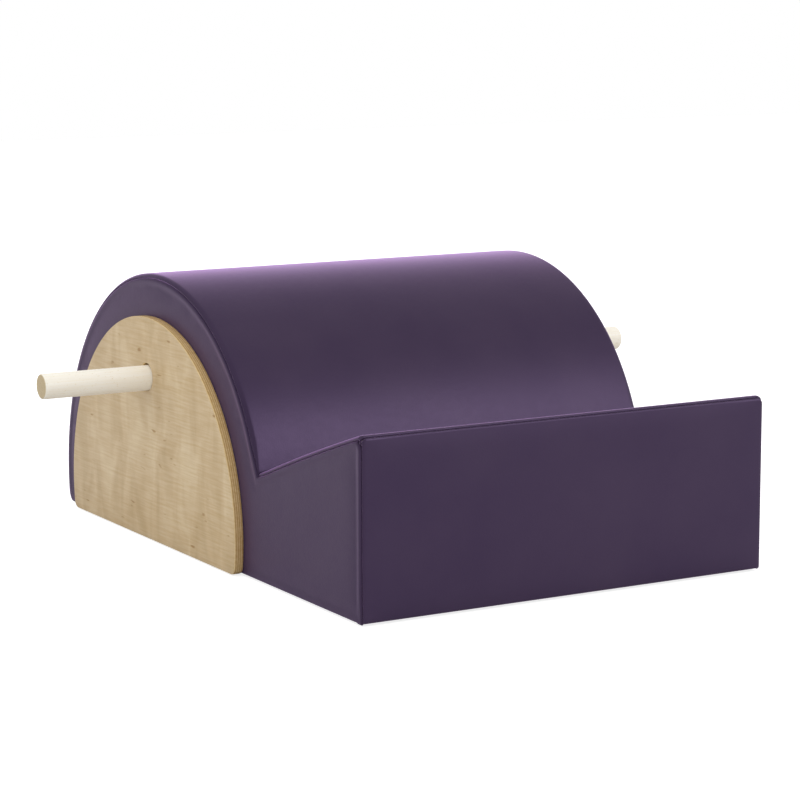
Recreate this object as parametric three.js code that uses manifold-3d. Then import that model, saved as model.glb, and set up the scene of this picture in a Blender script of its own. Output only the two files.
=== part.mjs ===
// Pilates spine corrector: a padded barrel with a V-shaped seat and a ramp up to a front lip, built on
// plywood ribs, with a plywood panel on each side and a wooden handle bar that slides through both panels.
// Millimetres, +Z up. X runs along the barrel's axis (left is -X), -Y is the front face, the origin is on
// the floor at the middle of the body.
import * as THREE from 'three';
import { mergeVertices } from 'three/addons/utils/BufferGeometryUtils.js';
import Module from 'manifold-3d';

const wasm = await Module();
wasm.setup();

// The body over its upholstery
const body_width = 550;
const body_length = 830;
const body_height = 340;
const barrel_radius = 296;
const lip_height = 218;
const well_height = 132;
const ramp_crown = 2;
const underside_height = 3;

// Rounded edges of the upholstery. Where a side face is met, the rounding has one width all round, and each
// edge has a depth of its own
const side_rounding_width = 7;
const barrel_edge_depth = 7;
const ramp_edge_depth = 4;
const front_edge_depth = 4;
const bottom_edge_depth = 3;
const lip_edge_radius = 4;
const front_foot_radius = 4;
const rear_foot_radius = 14;
const sharp_radius = 0.2;

// How far below the barrel's surface the seam lies on the side face
const barrel_seam_setback = 4.5;

// Upholstery layers
const cover_thickness = 1.2;
const top_foam_thickness = 20;
const front_foam_thickness = 10;
const side_foam_thickness = 6;
const hem_width = 15;
const liner_thickness = 0.7;
const liner_margin = 9;

// Wooden frame
const rib_thickness = 15;
const skin_thickness = 6;
const ramp_board_thickness = 12;
const front_board_thickness = 12;
const rail_width = 40;
const rail_thickness = 18;
const foot_rail_width = 60;
const lip_rail_height = 60;
const lip_rail_thickness = 20;
const well_rail_thickness = 30;
const well_rail_setback = 20;
const mid_rail_forward = 104;
const rear_rail_setback = 6;
const shoulder_angle = 45;

// Side panels, measured in from the barrel's outline
const panel_thickness = 12;
const panel_top_border = 53;
const panel_front_border = 51;
const panel_rear_border = 52;
const panel_foot_height = 2;
const panel_corner_radius = 11;
const panel_edge_radius = 1.5;

// Handle bar and what it runs in
const handle_diameter = 32;
const handle_length = 860;
const handle_end_radius = 2.5;
const handle_hole_diameter = 35;
const handle_below_crest = 129;
const handle_hole_chamfer = 0.8;
const guide_tube_diameter = 42;
const guide_tube_bore = 38;

// Panel fixings: a flanged button-head bolt inside each rib, a threaded insert in the panel
const bolt_diameter = 6;
const bolt_head_diameter = 11;
const bolt_head_height = 3.5;
const bolt_flange_diameter = 16;
const bolt_flange_height = 1.5;
const bolt_socket_diameter = 4.4;
const bolt_socket_depth = 2;
const bolt_thread_in_insert = 7;
const insert_diameter = 10;
const insert_length = 9;
const bolt_circle_margin = 47;
const bolt_angles = [15, 50, 130, 165];

// Feet
const foot_diameter = 34;
const foot_taper = 2;
const foot_spacing = 400;
const foot_screw_diameter = 4;
const foot_screw_head_diameter = 8;
const foot_screw_head_height = 2.2;
const foot_screw_length = 14;
const foot_screw_recess = 0.9;
const foot_hole_clearance = 1.5;

// Fits
const touch_gap = 0.3;
const cut_overrun = 20;

// How finely round shapes are divided
const barrel_arc_steps = 44;
const barrel_sides = 90;
const ramp_arc_steps = 6;
const corner_steps = 3;
const edge_steps = 3;
const small_round_sides = 12;
const foot_sides = 20;
const bar_sides = 32;

// Places that follow from the sizes above
const half_width = body_width / 2;
const front_y = -body_length / 2;
const barrel_y = body_length / 2 - barrel_radius;
const barrel_z = body_height - barrel_radius;
const foam_inset = cover_thickness + touch_gap;
const top_core_inset = foam_inset + top_foam_thickness + touch_gap;
const front_core_inset = foam_inset + front_foam_thickness + touch_gap;
const side_core_inset = foam_inset + side_foam_thickness + touch_gap;
const rib_barrel_inset = top_core_inset + skin_thickness + touch_gap;
const rib_ramp_inset = top_core_inset + ramp_board_thickness + touch_gap;
const rib_front_inset = front_core_inset + front_board_thickness + touch_gap;
const frame_bottom = underside_height + foam_inset;
const core_half_width = half_width - side_core_inset;
const rib_inner_x = core_half_width - rib_thickness;
const rail_half_length = rib_inner_x - touch_gap;
const panel_inner_x = half_width + touch_gap;
const panel_radius = (2 * barrel_radius - panel_front_border - panel_rear_border) / 2;
const panel_y = barrel_y + (panel_front_border - panel_rear_border) / 2;
const panel_z = body_height - panel_top_border - panel_radius;
const handle_z = body_height - handle_below_crest;
const handle_rest_drop = (handle_hole_diameter - handle_diameter) / 2 - touch_gap;

// The ramp's chord runs from the lip's corner to the seat's V; its crown is a wide arc over that chord
const well_y = barrel_y - Math.sqrt(barrel_radius ** 2 - (well_height - barrel_z) ** 2);
const ramp_run = well_y - front_y;
const ramp_fall = lip_height - well_height;
const ramp_length = Math.hypot(ramp_run, ramp_fall);
const ramp_slope = Math.atan2(ramp_fall, ramp_run);
const ramp_arc_radius = ramp_length ** 2 / (8 * ramp_crown) + ramp_crown / 2;
const ramp_up = { y: Math.sin(ramp_slope), z: Math.cos(ramp_slope) };
const ramp_arc_y = (front_y + well_y) / 2 - ramp_up.y * (ramp_arc_radius - ramp_crown);
const ramp_arc_z = (lip_height + well_height) / 2 - ramp_up.z * (ramp_arc_radius - ramp_crown);

// Spans to cut and to place with
const across_body = [-half_width - cut_overrun, half_width + cut_overrun];
const across_core = [-core_half_width, core_half_width];
const whole_length = [-body_length, body_length];
const full_height = [-cut_overrun, body_height + cut_overrun];
const merge_distance = 1e-4;
const side_view_to_body = new THREE.Matrix4().makeBasis(
  new THREE.Vector3(0, 1, 0), new THREE.Vector3(0, 0, 1), new THREE.Vector3(1, 0, 0),
);

// Colours, roughness and metalness of the finishes
const vinyl = { color: 0x4c3d55, roughness: 0.5, metalness: 0 };
const foam = { color: 0xd8d2bf, roughness: 0.95, metalness: 0 };
const birch = { color: 0xd2b78e, roughness: 0.5, metalness: 0 };
const frame_ply = { color: 0xc2a47a, roughness: 0.7, metalness: 0 };
const pine = { color: 0xd9bd8b, roughness: 0.75, metalness: 0 };
const dowel_wood = { color: 0xe8dfc9, roughness: 0.55, metalness: 0 };
const tube_plastic = { color: 0xb9bbb8, roughness: 0.5, metalness: 0 };
const zinc = { color: 0xb8bcc0, roughness: 0.35, metalness: 1 };
const rubber = { color: 0x232325, roughness: 0.85, metalness: 0 };
const liner_cloth = { color: 0x1d1d20, roughness: 0.95, metalness: 0 };

const radians = THREE.MathUtils.degToRad;
const degrees = THREE.MathUtils.radToDeg;
const point = (y, z) => new THREE.Vector2(y, z);

// Points of an arc in the side view, from one angle to another; 0 degrees points to the rear, 90 straight up
function arc(centre_y, centre_z, radius, from, to, steps) {
  const points = [];
  for (let i = 0; i <= steps; i += 1) {
    const angle = radians(from + ((to - from) * i) / steps);
    points.push(point(centre_y + radius * Math.cos(angle), centre_z + radius * Math.sin(angle)));
  }
  return points;
}

// Where two circles of the side view cross, on the side that lies higher
function upperCrossing(ay, az, ar, by, bz, br) {
  const dy = by - ay;
  const dz = bz - az;
  const distance = Math.hypot(dy, dz);
  const along = (ar ** 2 - br ** 2 + distance ** 2) / (2 * distance);
  const across = Math.sqrt(ar ** 2 - along ** 2);
  const crossing = (side) => point(
    ay + (along * dy - side * across * dz) / distance,
    az + (along * dz + side * across * dy) / distance,
  );
  const [first, second] = [crossing(1), crossing(-1)];
  return first.y > second.y ? first : second;
}

// The rounded side view of the upholstered body, drawn in by an inset and by a share of the rounding towards
// the side face. Every such outline has as many points
function bodyOutline(inset, rounding_share) {
  const rounding = (depth) => inset + rounding_share * Math.max(depth - inset, sharp_radius);
  const rounded = (radius, depth) => Math.max(radius - rounding(depth), sharp_radius);
  const barrel = barrel_radius - rounding(barrel_edge_depth);
  const ramp = ramp_arc_radius - rounding(ramp_edge_depth);
  const front = front_y + rounding(front_edge_depth);
  const bottom = underside_height + rounding(bottom_edge_depth);
  const front_foot = rounded(front_foot_radius, bottom_edge_depth);
  const lip = rounded(lip_edge_radius, ramp_edge_depth);
  const rear_foot = rounded(rear_foot_radius, barrel_edge_depth);

  const lip_y = front + lip;
  const lip_z = ramp_arc_z + Math.sqrt((ramp - lip) ** 2 - (lip_y - ramp_arc_y) ** 2);
  const lip_angle = angleFrom(ramp_arc_y, ramp_arc_z, point(lip_y, lip_z));
  const well = wellPoint(ramp, barrel);
  const well_ramp_angle = angleFrom(ramp_arc_y, ramp_arc_z, well);
  const well_barrel_angle = angleFrom(barrel_y, barrel_z, well);
  const rear_z = bottom + rear_foot;
  const rear_y = barrel_y + Math.sqrt((barrel - rear_foot) ** 2 - (rear_z - barrel_z) ** 2);
  const rear_angle = angleFrom(barrel_y, barrel_z, point(rear_y, rear_z));
  return [
    ...arc(front + front_foot, bottom + front_foot, front_foot, 270, 180, corner_steps),
    ...arc(lip_y, lip_z, lip, 180, lip_angle, corner_steps),
    ...arc(ramp_arc_y, ramp_arc_z, ramp, lip_angle, well_ramp_angle, ramp_arc_steps).slice(1, -1),
    ...arc(barrel_y, barrel_z, barrel, well_barrel_angle, rear_angle, barrel_arc_steps),
    ...arc(rear_y, rear_z, rear_foot, rear_angle, -90, corner_steps).slice(1),
  ];
}

// The same side view with sharp corners and open to the floor: where the cover panels meet at an edge
function seamOutline(inset) {
  const barrel = barrel_radius - barrel_seam_setback - inset;
  const ramp = ramp_arc_radius - inset;
  const corner = lipCorner(inset);
  const well = wellPoint(ramp, barrel);
  const below = -cut_overrun;
  const rear = point(barrel_y + Math.sqrt(barrel ** 2 - (below - barrel_z) ** 2), below);
  const ramp_from = angleFrom(ramp_arc_y, ramp_arc_z, corner);
  const ramp_to = angleFrom(ramp_arc_y, ramp_arc_z, well);
  const barrel_from = angleFrom(barrel_y, barrel_z, well);
  const barrel_to = angleFrom(barrel_y, barrel_z, rear);
  return [
    point(front_y + inset, below),
    ...arc(ramp_arc_y, ramp_arc_z, ramp, ramp_from, ramp_to, ramp_arc_steps).slice(0, -1),
    ...arc(barrel_y, barrel_z, barrel, barrel_from, barrel_to, barrel_arc_steps),
  ];
}

// The angle of a spot seen from a centre, counted from straight below it past the rear: -90 to 270 degrees
function angleFrom(centre_y, centre_z, spot) {
  const angle = degrees(Math.atan2(spot.y - centre_z, spot.x - centre_y));
  return angle < -90 ? angle + 360 : angle;
}

// An outline without the points that fall on the one before them
function distinct(points) {
  return points.filter((p, i) => i === 0 || p.distanceTo(points[i - 1]) > merge_distance);
}

// The deepest point of the seat's V, for a ramp and a barrel of these radii
function wellPoint(ramp, barrel) {
  return upperCrossing(ramp_arc_y, ramp_arc_z, ramp, barrel_y, barrel_z, barrel);
}

// The sharp corner where the front face and the ramp would meet, for a body drawn in by an inset
function lipCorner(inset) {
  const y = front_y + inset;
  return point(y, ramp_arc_z + Math.sqrt((ramp_arc_radius - inset) ** 2 - (y - ramp_arc_y) ** 2));
}

// A closed geometry over rings of points that lie one after another along X, capped at both ends
function loft(rings) {
  const count = rings[0].points.length;
  const positions = rings.flatMap(({ x, points }) => points.flatMap((p) => [x, p.x, p.y]));
  const index = [];
  for (let ring = 0; ring < rings.length - 1; ring += 1) {
    for (let i = 0; i < count; i += 1) {
      const a = ring * count + i;
      const b = ring * count + ((i + 1) % count);
      index.push(a, b + count, b, a, a + count, b + count);
    }
  }
  const last = (rings.length - 1) * count;
  for (const face of THREE.ShapeUtils.triangulateShape(rings[0].points, [])) {
    const [a, b, c] = clockwise(face, rings[0].points);
    index.push(a, b, c);
  }
  for (const face of THREE.ShapeUtils.triangulateShape(rings.at(-1).points, [])) {
    const [a, b, c] = clockwise(face, rings.at(-1).points);
    index.push(last + a, last + c, last + b);
  }
  const geometry = new THREE.BufferGeometry();
  geometry.setAttribute('position', new THREE.Float32BufferAttribute(positions, 3));
  geometry.setIndex(index);
  return geometry;
}

function clockwise(face, points) {
  const [a, b, c] = face.map((i) => points[i]);
  const turn = (b.x - a.x) * (c.y - a.y) - (b.y - a.y) * (c.x - a.x);
  return turn < 0 ? face : [face[0], face[2], face[1]];
}

// A geometry as a solid that can be joined and cut
function solid(source) {
  const geometry = source.clone();
  geometry.deleteAttribute('normal');
  geometry.deleteAttribute('uv');
  const merged = mergeVertices(geometry, merge_distance);
  const vertProperties = Float32Array.from(merged.attributes.position.array);
  const triVerts = Uint32Array.from(merged.index.array);
  return new wasm.Manifold(new wasm.Mesh({ numProp: 3, vertProperties, triVerts }));
}

function geometryOf(shape) {
  const mesh = shape.getMesh();
  const positions = new Float32Array(mesh.numVert * 3);
  for (let i = 0; i < mesh.numVert; i += 1) {
    for (let axis = 0; axis < 3; axis += 1) {
      positions[3 * i + axis] = mesh.vertProperties[i * mesh.numProp + axis];
    }
  }
  const geometry = new THREE.BufferGeometry();
  geometry.setAttribute('position', new THREE.BufferAttribute(positions, 3));
  geometry.setIndex(Array.from(mesh.triVerts));
  return geometry;
}

// The same solid on the other side of the body
function mirrored(shape) {
  const geometry = geometryOf(shape);
  geometry.scale(-1, 1, 1);
  const { index } = geometry;
  for (let i = 0; i < index.count; i += 3) {
    const second = index.getX(i + 1);
    index.setX(i + 1, index.getX(i + 2));
    index.setX(i + 2, second);
  }
  return solid(geometry);
}

// Simple solids to build with and to cut with
function boxGeometry(x, y, z) {
  const geometry = new THREE.BoxGeometry(x[1] - x[0], y[1] - y[0], z[1] - z[0]);
  geometry.translate((x[0] + x[1]) / 2, (y[0] + y[1]) / 2, (z[0] + z[1]) / 2);
  return geometry;
}

const block = (x, y, z) => solid(boxGeometry(x, y, z));

function rodAlongX(radius, x, y, z, sides) {
  const geometry = new THREE.CylinderGeometry(radius, radius, x[1] - x[0], sides);
  geometry.rotateZ(Math.PI / 2);
  geometry.translate((x[0] + x[1]) / 2, y, z);
  return solid(geometry);
}

const barrelRod = (radius, x) => rodAlongX(radius, x, barrel_y, barrel_z, barrel_sides);

// The hole for the guide tube, through everything between the panels
function tubeHole() {
  return rodAlongX(guide_tube_diameter / 2 + touch_gap, across_body, barrel_y, handle_z, bar_sides);
}

// A side view with straight edges, given thickness along X
function plate(points, x) {
  const geometry = new THREE.ExtrudeGeometry(new THREE.Shape(points), {
    depth: x[1] - x[0],
    bevelEnabled: false,
  });
  geometry.applyMatrix4(side_view_to_body);
  geometry.translate(x[0], 0, 0);
  return solid(geometry);
}

// Everything below the ramp's chord drawn in by an inset, as far back as the barrel's axis
function underRamp(inset, x) {
  const down_along = { y: Math.cos(ramp_slope), z: -Math.sin(ramp_slope) };
  const onChord = (distance) => point(
    front_y + down_along.y * distance - ramp_up.y * inset,
    lip_height + down_along.z * distance - ramp_up.z * inset,
  );
  const front = onChord(-cut_overrun);
  const rear = onChord((barrel_y - front_y) / down_along.y);
  return plate([front, rear, point(rear.x, -body_height), point(front.x, -body_height)], x);
}

// The upholstered body with its rounded edges, drawn in by an inset all round
function paddedBody(inset) {
  const width = side_rounding_width - inset;
  const flat_x = half_width - side_rounding_width;
  const edge = [];
  for (let i = 0; i <= edge_steps; i += 1) {
    const angle = ((Math.PI / 2) * i) / edge_steps;
    const points = bodyOutline(inset, 1 - Math.cos(angle));
    edge.push({ x: flat_x + width * Math.sin(angle), points });
  }
  const other_edge = edge.map(({ x, points }) => ({ x: -x, points })).reverse();
  return solid(loft([...other_edge, ...edge]));
}

// What belongs to the left side's cover: nearer to the side face than to the top, front or rear
function leftSideZone(shift) {
  const rings = [-cut_overrun / 2, 2 * hem_width].map((inset) => ({
    x: -half_width + inset + shift,
    points: seamOutline(inset),
  }));
  return solid(loft(rings));
}

// What belongs to the front cover: all that lies nearer to the front face than to the ramp
function frontZone(shift) {
  const outer = -cut_overrun / 2;
  const inner = 2 * hem_width;
  const points = [
    point(front_y + outer, -cut_overrun),
    lipCorner(outer),
    lipCorner(inner),
    point(front_y + inner, -cut_overrun),
  ];
  return plate(points.map((p) => point(p.x + shift, p.y)), across_body);
}

// The vinyl covers: one thin shell, open below inside its hem, parted at the seams
function covers() {
  const rear_bottom_y = barrel_y + Math.sqrt(barrel_radius ** 2 - (barrel_z - underside_height) ** 2);
  const hem_opening = block(
    [-half_width + hem_width, half_width - hem_width],
    [front_y + hem_width, rear_bottom_y - hem_width],
    [-cut_overrun, frame_bottom],
  );
  const shell = paddedBody(0).subtract(paddedBody(cover_thickness)).subtract(hem_opening);
  const seam_shift = touch_gap / Math.SQRT2;
  const left_zone = leftSideZone(seam_shift);
  const middle = shell.subtract(left_zone).subtract(mirrored(left_zone));
  const top = middle.subtract(frontZone(seam_shift));
  const left = shell.intersect(leftSideZone(-seam_shift)).subtract(tubeHole()).subtract(boltHoles());
  return {
    left,
    right: mirrored(left),
    front: middle.intersect(frontZone(-seam_shift)),
    barrel: top.intersect(barrelRod(barrel_radius + sharp_radius, across_body)),
    ramp: top.subtract(barrelRod(barrel_radius + touch_gap + sharp_radius, across_body)),
  };
}

// The foam under the covers: thick over the barrel and the ramp, thinner in front and at the sides
function foams() {
  const inside = paddedBody(foam_inset);
  const over_ramp_board = top_core_inset - touch_gap;
  const barrel_outer = barrel_radius - foam_inset;
  const skin_outer = barrel_radius - top_core_inset;
  const front_part = block(across_body, [front_y, front_y + front_core_inset - touch_gap], full_height);
  const left_part = block(
    [-half_width, -half_width + side_core_inset - touch_gap],
    [front_y + front_core_inset, body_length],
    full_height,
  );
  const under_board = underRamp(top_core_inset, across_body);
  const left = inside
    .intersect(left_part)
    .intersect(under_board.add(barrelRod(skin_outer, across_body)))
    .subtract(tubeHole())
    .subtract(boltHoles());
  return {
    left,
    right: mirrored(left),
    front: inside.intersect(front_part).intersect(under_board),
    barrel: inside
      .intersect(barrelRod(barrel_outer + sharp_radius, across_body))
      .subtract(barrelRod(skin_outer + touch_gap, across_body))
      .subtract(underRamp(over_ramp_board, across_body)),
    ramp: inside
      .subtract(underRamp(over_ramp_board, across_body))
      .subtract(barrelRod(barrel_outer + touch_gap + sharp_radius, across_body))
      .intersect(block(across_body, [front_y, barrel_y], full_height)),
  };
}

// Bent plywood over the ribs' arcs
function barrelSkin() {
  const outer = barrel_radius - top_core_inset;
  return barrelRod(outer, across_core)
    .subtract(barrelRod(outer - skin_thickness, across_body))
    .subtract(underRamp(rib_ramp_inset - touch_gap, across_body))
    .intersect(block(across_body, whole_length, [frame_bottom, body_height]));
}

function rampBoard() {
  return underRamp(top_core_inset, across_core)
    .subtract(underRamp(top_core_inset + ramp_board_thickness, across_body))
    .subtract(barrelRod(barrel_radius - top_core_inset + touch_gap, across_body))
    .intersect(block(across_body, [front_y + front_core_inset, barrel_y], full_height));
}

function frontBoard() {
  const y = front_y + front_core_inset;
  return underRamp(rib_ramp_inset, across_core)
    .intersect(block(across_body, [y, y + front_board_thickness], [frame_bottom, body_height]));
}

// A rib has the side view of the body less its layers, with a hole for the guide tube
function rib(x) {
  const behind_front = block(across_body, [front_y + rib_front_inset, barrel_y], full_height);
  return barrelRod(barrel_radius - rib_barrel_inset, x)
    .add(underRamp(rib_ramp_inset, x).intersect(behind_front))
    .intersect(block(across_body, whole_length, [frame_bottom, body_height]))
    .subtract(tubeHole());
}

// Rails run from side rib to side rib. Each is a board of a width and a thickness, centred on a spot and
// turned. The centre rib is notched for it, and the notch runs out of the rib on the rail's open sides
function railList() {
  const inner_arc = barrel_radius - rib_barrel_inset;
  const underArc = (angle) => {
    const reach = Math.sqrt(inner_arc ** 2 - (rail_width / 2) ** 2) - touch_gap - rail_thickness / 2;
    const y = barrel_y + reach * Math.cos(radians(angle));
    const z = barrel_z + reach * Math.sin(radians(angle));
    return { y, z, width: rail_width, thickness: rail_thickness, turn: angle - 90, open: ['above'] };
  };
  const foot_z = frame_bottom + rail_thickness / 2;
  const foot_rail = { z: foot_z, width: foot_rail_width, thickness: rail_thickness, turn: 0 };
  const rear_arc_y = barrel_y + Math.sqrt(inner_arc ** 2 - (barrel_z - frame_bottom) ** 2);
  const front_rail_y = front_y + rib_front_inset + touch_gap + foot_rail_width / 2;
  const rear_rail_y = rear_arc_y - rear_rail_setback - foot_rail_width / 2;
  const below_ramp = rib_ramp_inset + touch_gap;
  const well = wellPoint(ramp_arc_radius - rib_ramp_inset, inner_arc);
  const along = { y: Math.cos(ramp_slope), z: -Math.sin(ramp_slope) };
  const well_reach = well_rail_setback + rail_width / 2;
  const well_drop = well_rail_thickness / 2 + touch_gap + ramp_crown;
  const lip_rail_y = front_y + rib_front_inset + touch_gap + lip_rail_thickness / 2;
  const lip_top = lip_height - (below_ramp / ramp_up.z)
    - (lip_rail_y + lip_rail_thickness / 2 - front_y) * Math.tan(ramp_slope);
  return [
    { name: 'crest_rail', ...underArc(90) },
    { name: 'front_shoulder_rail', ...underArc(90 + shoulder_angle) },
    { name: 'rear_shoulder_rail', ...underArc(90 - shoulder_angle) },
    {
      name: 'well_rail',
      y: well.x - along.y * well_reach - ramp_up.y * well_drop,
      z: well.y - along.z * well_reach - ramp_up.z * well_drop,
      width: rail_width,
      thickness: well_rail_thickness,
      turn: -degrees(ramp_slope),
      open: ['above'],
    },
    {
      name: 'lip_rail',
      y: lip_rail_y,
      z: lip_top - lip_rail_height / 2,
      width: lip_rail_thickness,
      thickness: lip_rail_height,
      turn: 0,
      open: ['above', 'ahead'],
    },
    { name: 'front_foot_rail', y: front_rail_y, ...foot_rail, open: ['below', 'ahead'] },
    { name: 'middle_foot_rail', y: barrel_y - mid_rail_forward, ...foot_rail, open: ['below'] },
    { name: 'rear_foot_rail', y: rear_rail_y, ...foot_rail, open: ['below'] },
  ];
}

// A rail as a solid, larger by the room that is asked for on each of its four long sides
function railSolid({ y, z, width, thickness, turn }, x, room) {
  const geometry = boxGeometry(
    x,
    [-width / 2 - room.ahead, width / 2 + room.behind],
    [-thickness / 2 - room.below, thickness / 2 + room.above],
  );
  geometry.rotateX(radians(turn));
  geometry.translate(0, y, z);
  return solid(geometry);
}

function railNotch(rail) {
  const room = { ahead: touch_gap, behind: touch_gap, below: touch_gap, above: touch_gap };
  for (const side of rail.open) room[side] = cut_overrun;
  return railSolid(rail, across_body, room);
}

// Places of the panel bolts in the side view, on a circle inside the panel's rim
function boltPlaces() {
  const reach = panel_radius - bolt_circle_margin;
  return bolt_angles.map((angle) => arc(panel_y, panel_z, reach, angle, angle, 1)[0]);
}

// The bolts' holes in the left half of the body
function boltHoles() {
  const radius = bolt_diameter / 2 + touch_gap;
  const [first, ...others] = boltPlaces()
    .map((spot) => rodAlongX(radius, [-body_width, 0], spot.x, spot.y, small_round_sides));
  return others.reduce((all, hole) => all.add(hole), first);
}

// The side panel: a half round on upright sides, edges eased, with the handle's hole and the inserts' holes
function leftPanel() {
  const r = panel_corner_radius;
  const corner_z = panel_foot_height + r;
  const corner_rise = Math.max(corner_z - panel_z, 0);
  const corner_reach = Math.sqrt((panel_radius - r) ** 2 - corner_rise ** 2);
  const lean = degrees(Math.atan2(corner_rise, corner_reach));
  const outline = distinct([
    ...arc(panel_y - corner_reach, corner_z, r, 270, 180 - lean, corner_steps),
    ...arc(panel_y, panel_z, panel_radius, 180 - lean, lean, barrel_arc_steps),
    ...arc(panel_y + corner_reach, corner_z, r, lean, -90, corner_steps),
  ]);
  const board = new THREE.ExtrudeGeometry(new THREE.Shape(outline), {
    depth: panel_thickness - 2 * panel_edge_radius,
    bevelThickness: panel_edge_radius,
    bevelSize: panel_edge_radius,
    bevelOffset: -panel_edge_radius,
    bevelSegments: 1,
  });
  board.applyMatrix4(side_view_to_body);
  const outer_x = -panel_inner_x - panel_thickness;
  board.translate(outer_x + panel_edge_radius, 0, 0);
  const hole_radius = handle_hole_diameter / 2;
  const rim_radius = hole_radius + handle_hole_chamfer;
  const rim = new THREE.CylinderGeometry(hole_radius, rim_radius, handle_hole_chamfer, bar_sides);
  rim.rotateZ(-Math.PI / 2);
  rim.translate(outer_x + handle_hole_chamfer / 2, barrel_y, handle_z);
  const insert_pockets = boltPlaces().map((spot) => rodAlongX(
    insert_diameter / 2 + touch_gap,
    [-panel_inner_x - insert_length - touch_gap, -panel_inner_x + cut_overrun],
    spot.x, spot.y, small_round_sides,
  ));
  const bored = solid(board)
    .subtract(rodAlongX(hole_radius, across_body, barrel_y, handle_z, bar_sides))
    .subtract(solid(rim));
  return insert_pockets.reduce((panel, pocket) => panel.subtract(pocket), bored);
}

// Round pieces are turned about X, from a profile of [radius, distance along X]
function turned(profile, sides) {
  const geometry = new THREE.LatheGeometry(profile.map(([r, x]) => point(r, x)), sides);
  geometry.rotateZ(-Math.PI / 2);
  return geometryOf(solid(geometry));
}

function handleBar() {
  const radius = handle_diameter / 2;
  const half = handle_length / 2;
  const end = handle_end_radius;
  const round = (centre_x, from, to) => arc(radius - end, centre_x, end, from, to, corner_steps)
    .map((p) => [p.x, p.y]);
  return turned([
    [0, -half],
    ...round(-half + end, -90, 0),
    ...round(half - end, 0, 90),
    [0, half],
  ], bar_sides);
}

// A tube from panel to panel, closed on itself so that it has a bore
function guideTube() {
  const half = half_width;
  const outer = guide_tube_diameter / 2;
  const bore = guide_tube_bore / 2;
  return turned([[bore, -half], [outer, -half], [outer, half], [bore, half], [bore, -half]], bar_sides);
}

// A bolt's flange lies against the rib at x = 0 and the shank points along +X
function panelBolt() {
  const shank = bolt_diameter / 2;
  const head = bolt_head_diameter / 2;
  const socket = bolt_socket_diameter / 2;
  const flange = bolt_flange_diameter / 2;
  const top = -bolt_flange_height - bolt_head_height;
  const reach = touch_gap + rib_thickness + side_core_inset + touch_gap + bolt_thread_in_insert;
  return turned([
    [0, top + bolt_socket_depth],
    [socket, top + bolt_socket_depth],
    [socket, top],
    [head - bolt_head_height / 2, top],
    [head, top + bolt_head_height / 2],
    [head, -bolt_flange_height],
    [flange, -bolt_flange_height],
    [flange, 0],
    [shank, 0],
    [shank, reach],
    [0, reach],
  ], small_round_sides);
}

function threadedInsert() {
  const hole = bolt_diameter / 2 + touch_gap;
  const outer = insert_diameter / 2;
  const length = insert_length;
  return turned([[hole, 0], [outer, 0], [outer, length], [hole, length], [hole, 0]], small_round_sides);
}

// A foot is a rubber disc with a sunk hole for its screw; both are turned with +X up
function foot() {
  const top = frame_bottom - touch_gap;
  const outer = foot_diameter / 2;
  const hole = foot_screw_diameter / 2 + touch_gap;
  const sunk = foot_screw_head_diameter / 2 + touch_gap;
  const sunk_depth = foot_screw_recess + foot_screw_head_height;
  return turned([
    [sunk, 0],
    [outer - foot_taper, 0],
    [outer, top],
    [hole, top],
    [hole, sunk_depth],
    [sunk, sunk_depth],
    [sunk, 0],
  ], foot_sides);
}

function footScrew() {
  const head = foot_screw_head_diameter / 2;
  const shank = foot_screw_diameter / 2;
  const top = foot_screw_head_height - touch_gap;
  const tip = foot_screw_length;
  return turned([[0, 0], [head, 0], [head, top], [shank, top], [shank, tip], [0, tip]], small_round_sides);
}

// Thin cloth under the body, cut round the feet
function bottomLiner(feet) {
  const rear_bottom_y = barrel_y + Math.sqrt(barrel_radius ** 2 - (barrel_z - underside_height) ** 2);
  const top = underside_height - touch_gap;
  const sheet = block(
    [-half_width + liner_margin, half_width - liner_margin],
    [front_y + liner_margin, rear_bottom_y - liner_margin],
    [top - liner_thickness, top],
  );
  return feet.reduce((cloth, { x, y }) => {
    const radius = foot_diameter / 2 + foot_hole_clearance;
    const geometry = new THREE.CylinderGeometry(radius, radius, body_height, foot_sides);
    geometry.rotateX(Math.PI / 2);
    geometry.translate(x, y, 0);
    return cloth.subtract(solid(geometry));
  }, sheet);
}

const spine_corrector = new THREE.Group();
spine_corrector.name = 'spine_corrector';

function place(name, geometry, finish) {
  geometry.computeVertexNormals();
  const mesh = new THREE.Mesh(geometry, new THREE.MeshStandardMaterial(finish));
  mesh.name = name;
  spine_corrector.add(mesh);
  return mesh;
}

function placeSolid(name, shape, finish) {
  return place(name, geometryOf(shape), finish);
}

const cover = covers();
placeSolid('barrel_cover', cover.barrel, vinyl);
placeSolid('ramp_cover', cover.ramp, vinyl);
placeSolid('front_cover', cover.front, vinyl);
placeSolid('left_side_cover', cover.left, vinyl);
placeSolid('right_side_cover', cover.right, vinyl);

const padding = foams();
placeSolid('barrel_foam', padding.barrel, foam);
placeSolid('ramp_foam', padding.ramp, foam);
placeSolid('front_foam', padding.front, foam);
placeSolid('left_side_foam', padding.left, foam);
placeSolid('right_side_foam', padding.right, foam);

placeSolid('barrel_skin', barrelSkin(), frame_ply);
placeSolid('ramp_board', rampBoard(), frame_ply);
placeSolid('front_board', frontBoard(), frame_ply);

const rails = railList();
const centre_rib = rails.reduce(
  (board, rail) => board.subtract(railNotch(rail)),
  rib([-rib_thickness / 2, rib_thickness / 2]),
);
const left_rib = rib([-core_half_width, -rib_inner_x]).subtract(boltHoles());
placeSolid('left_rib', left_rib, frame_ply);
placeSolid('centre_rib', centre_rib, frame_ply);
placeSolid('right_rib', mirrored(left_rib), frame_ply);

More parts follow.
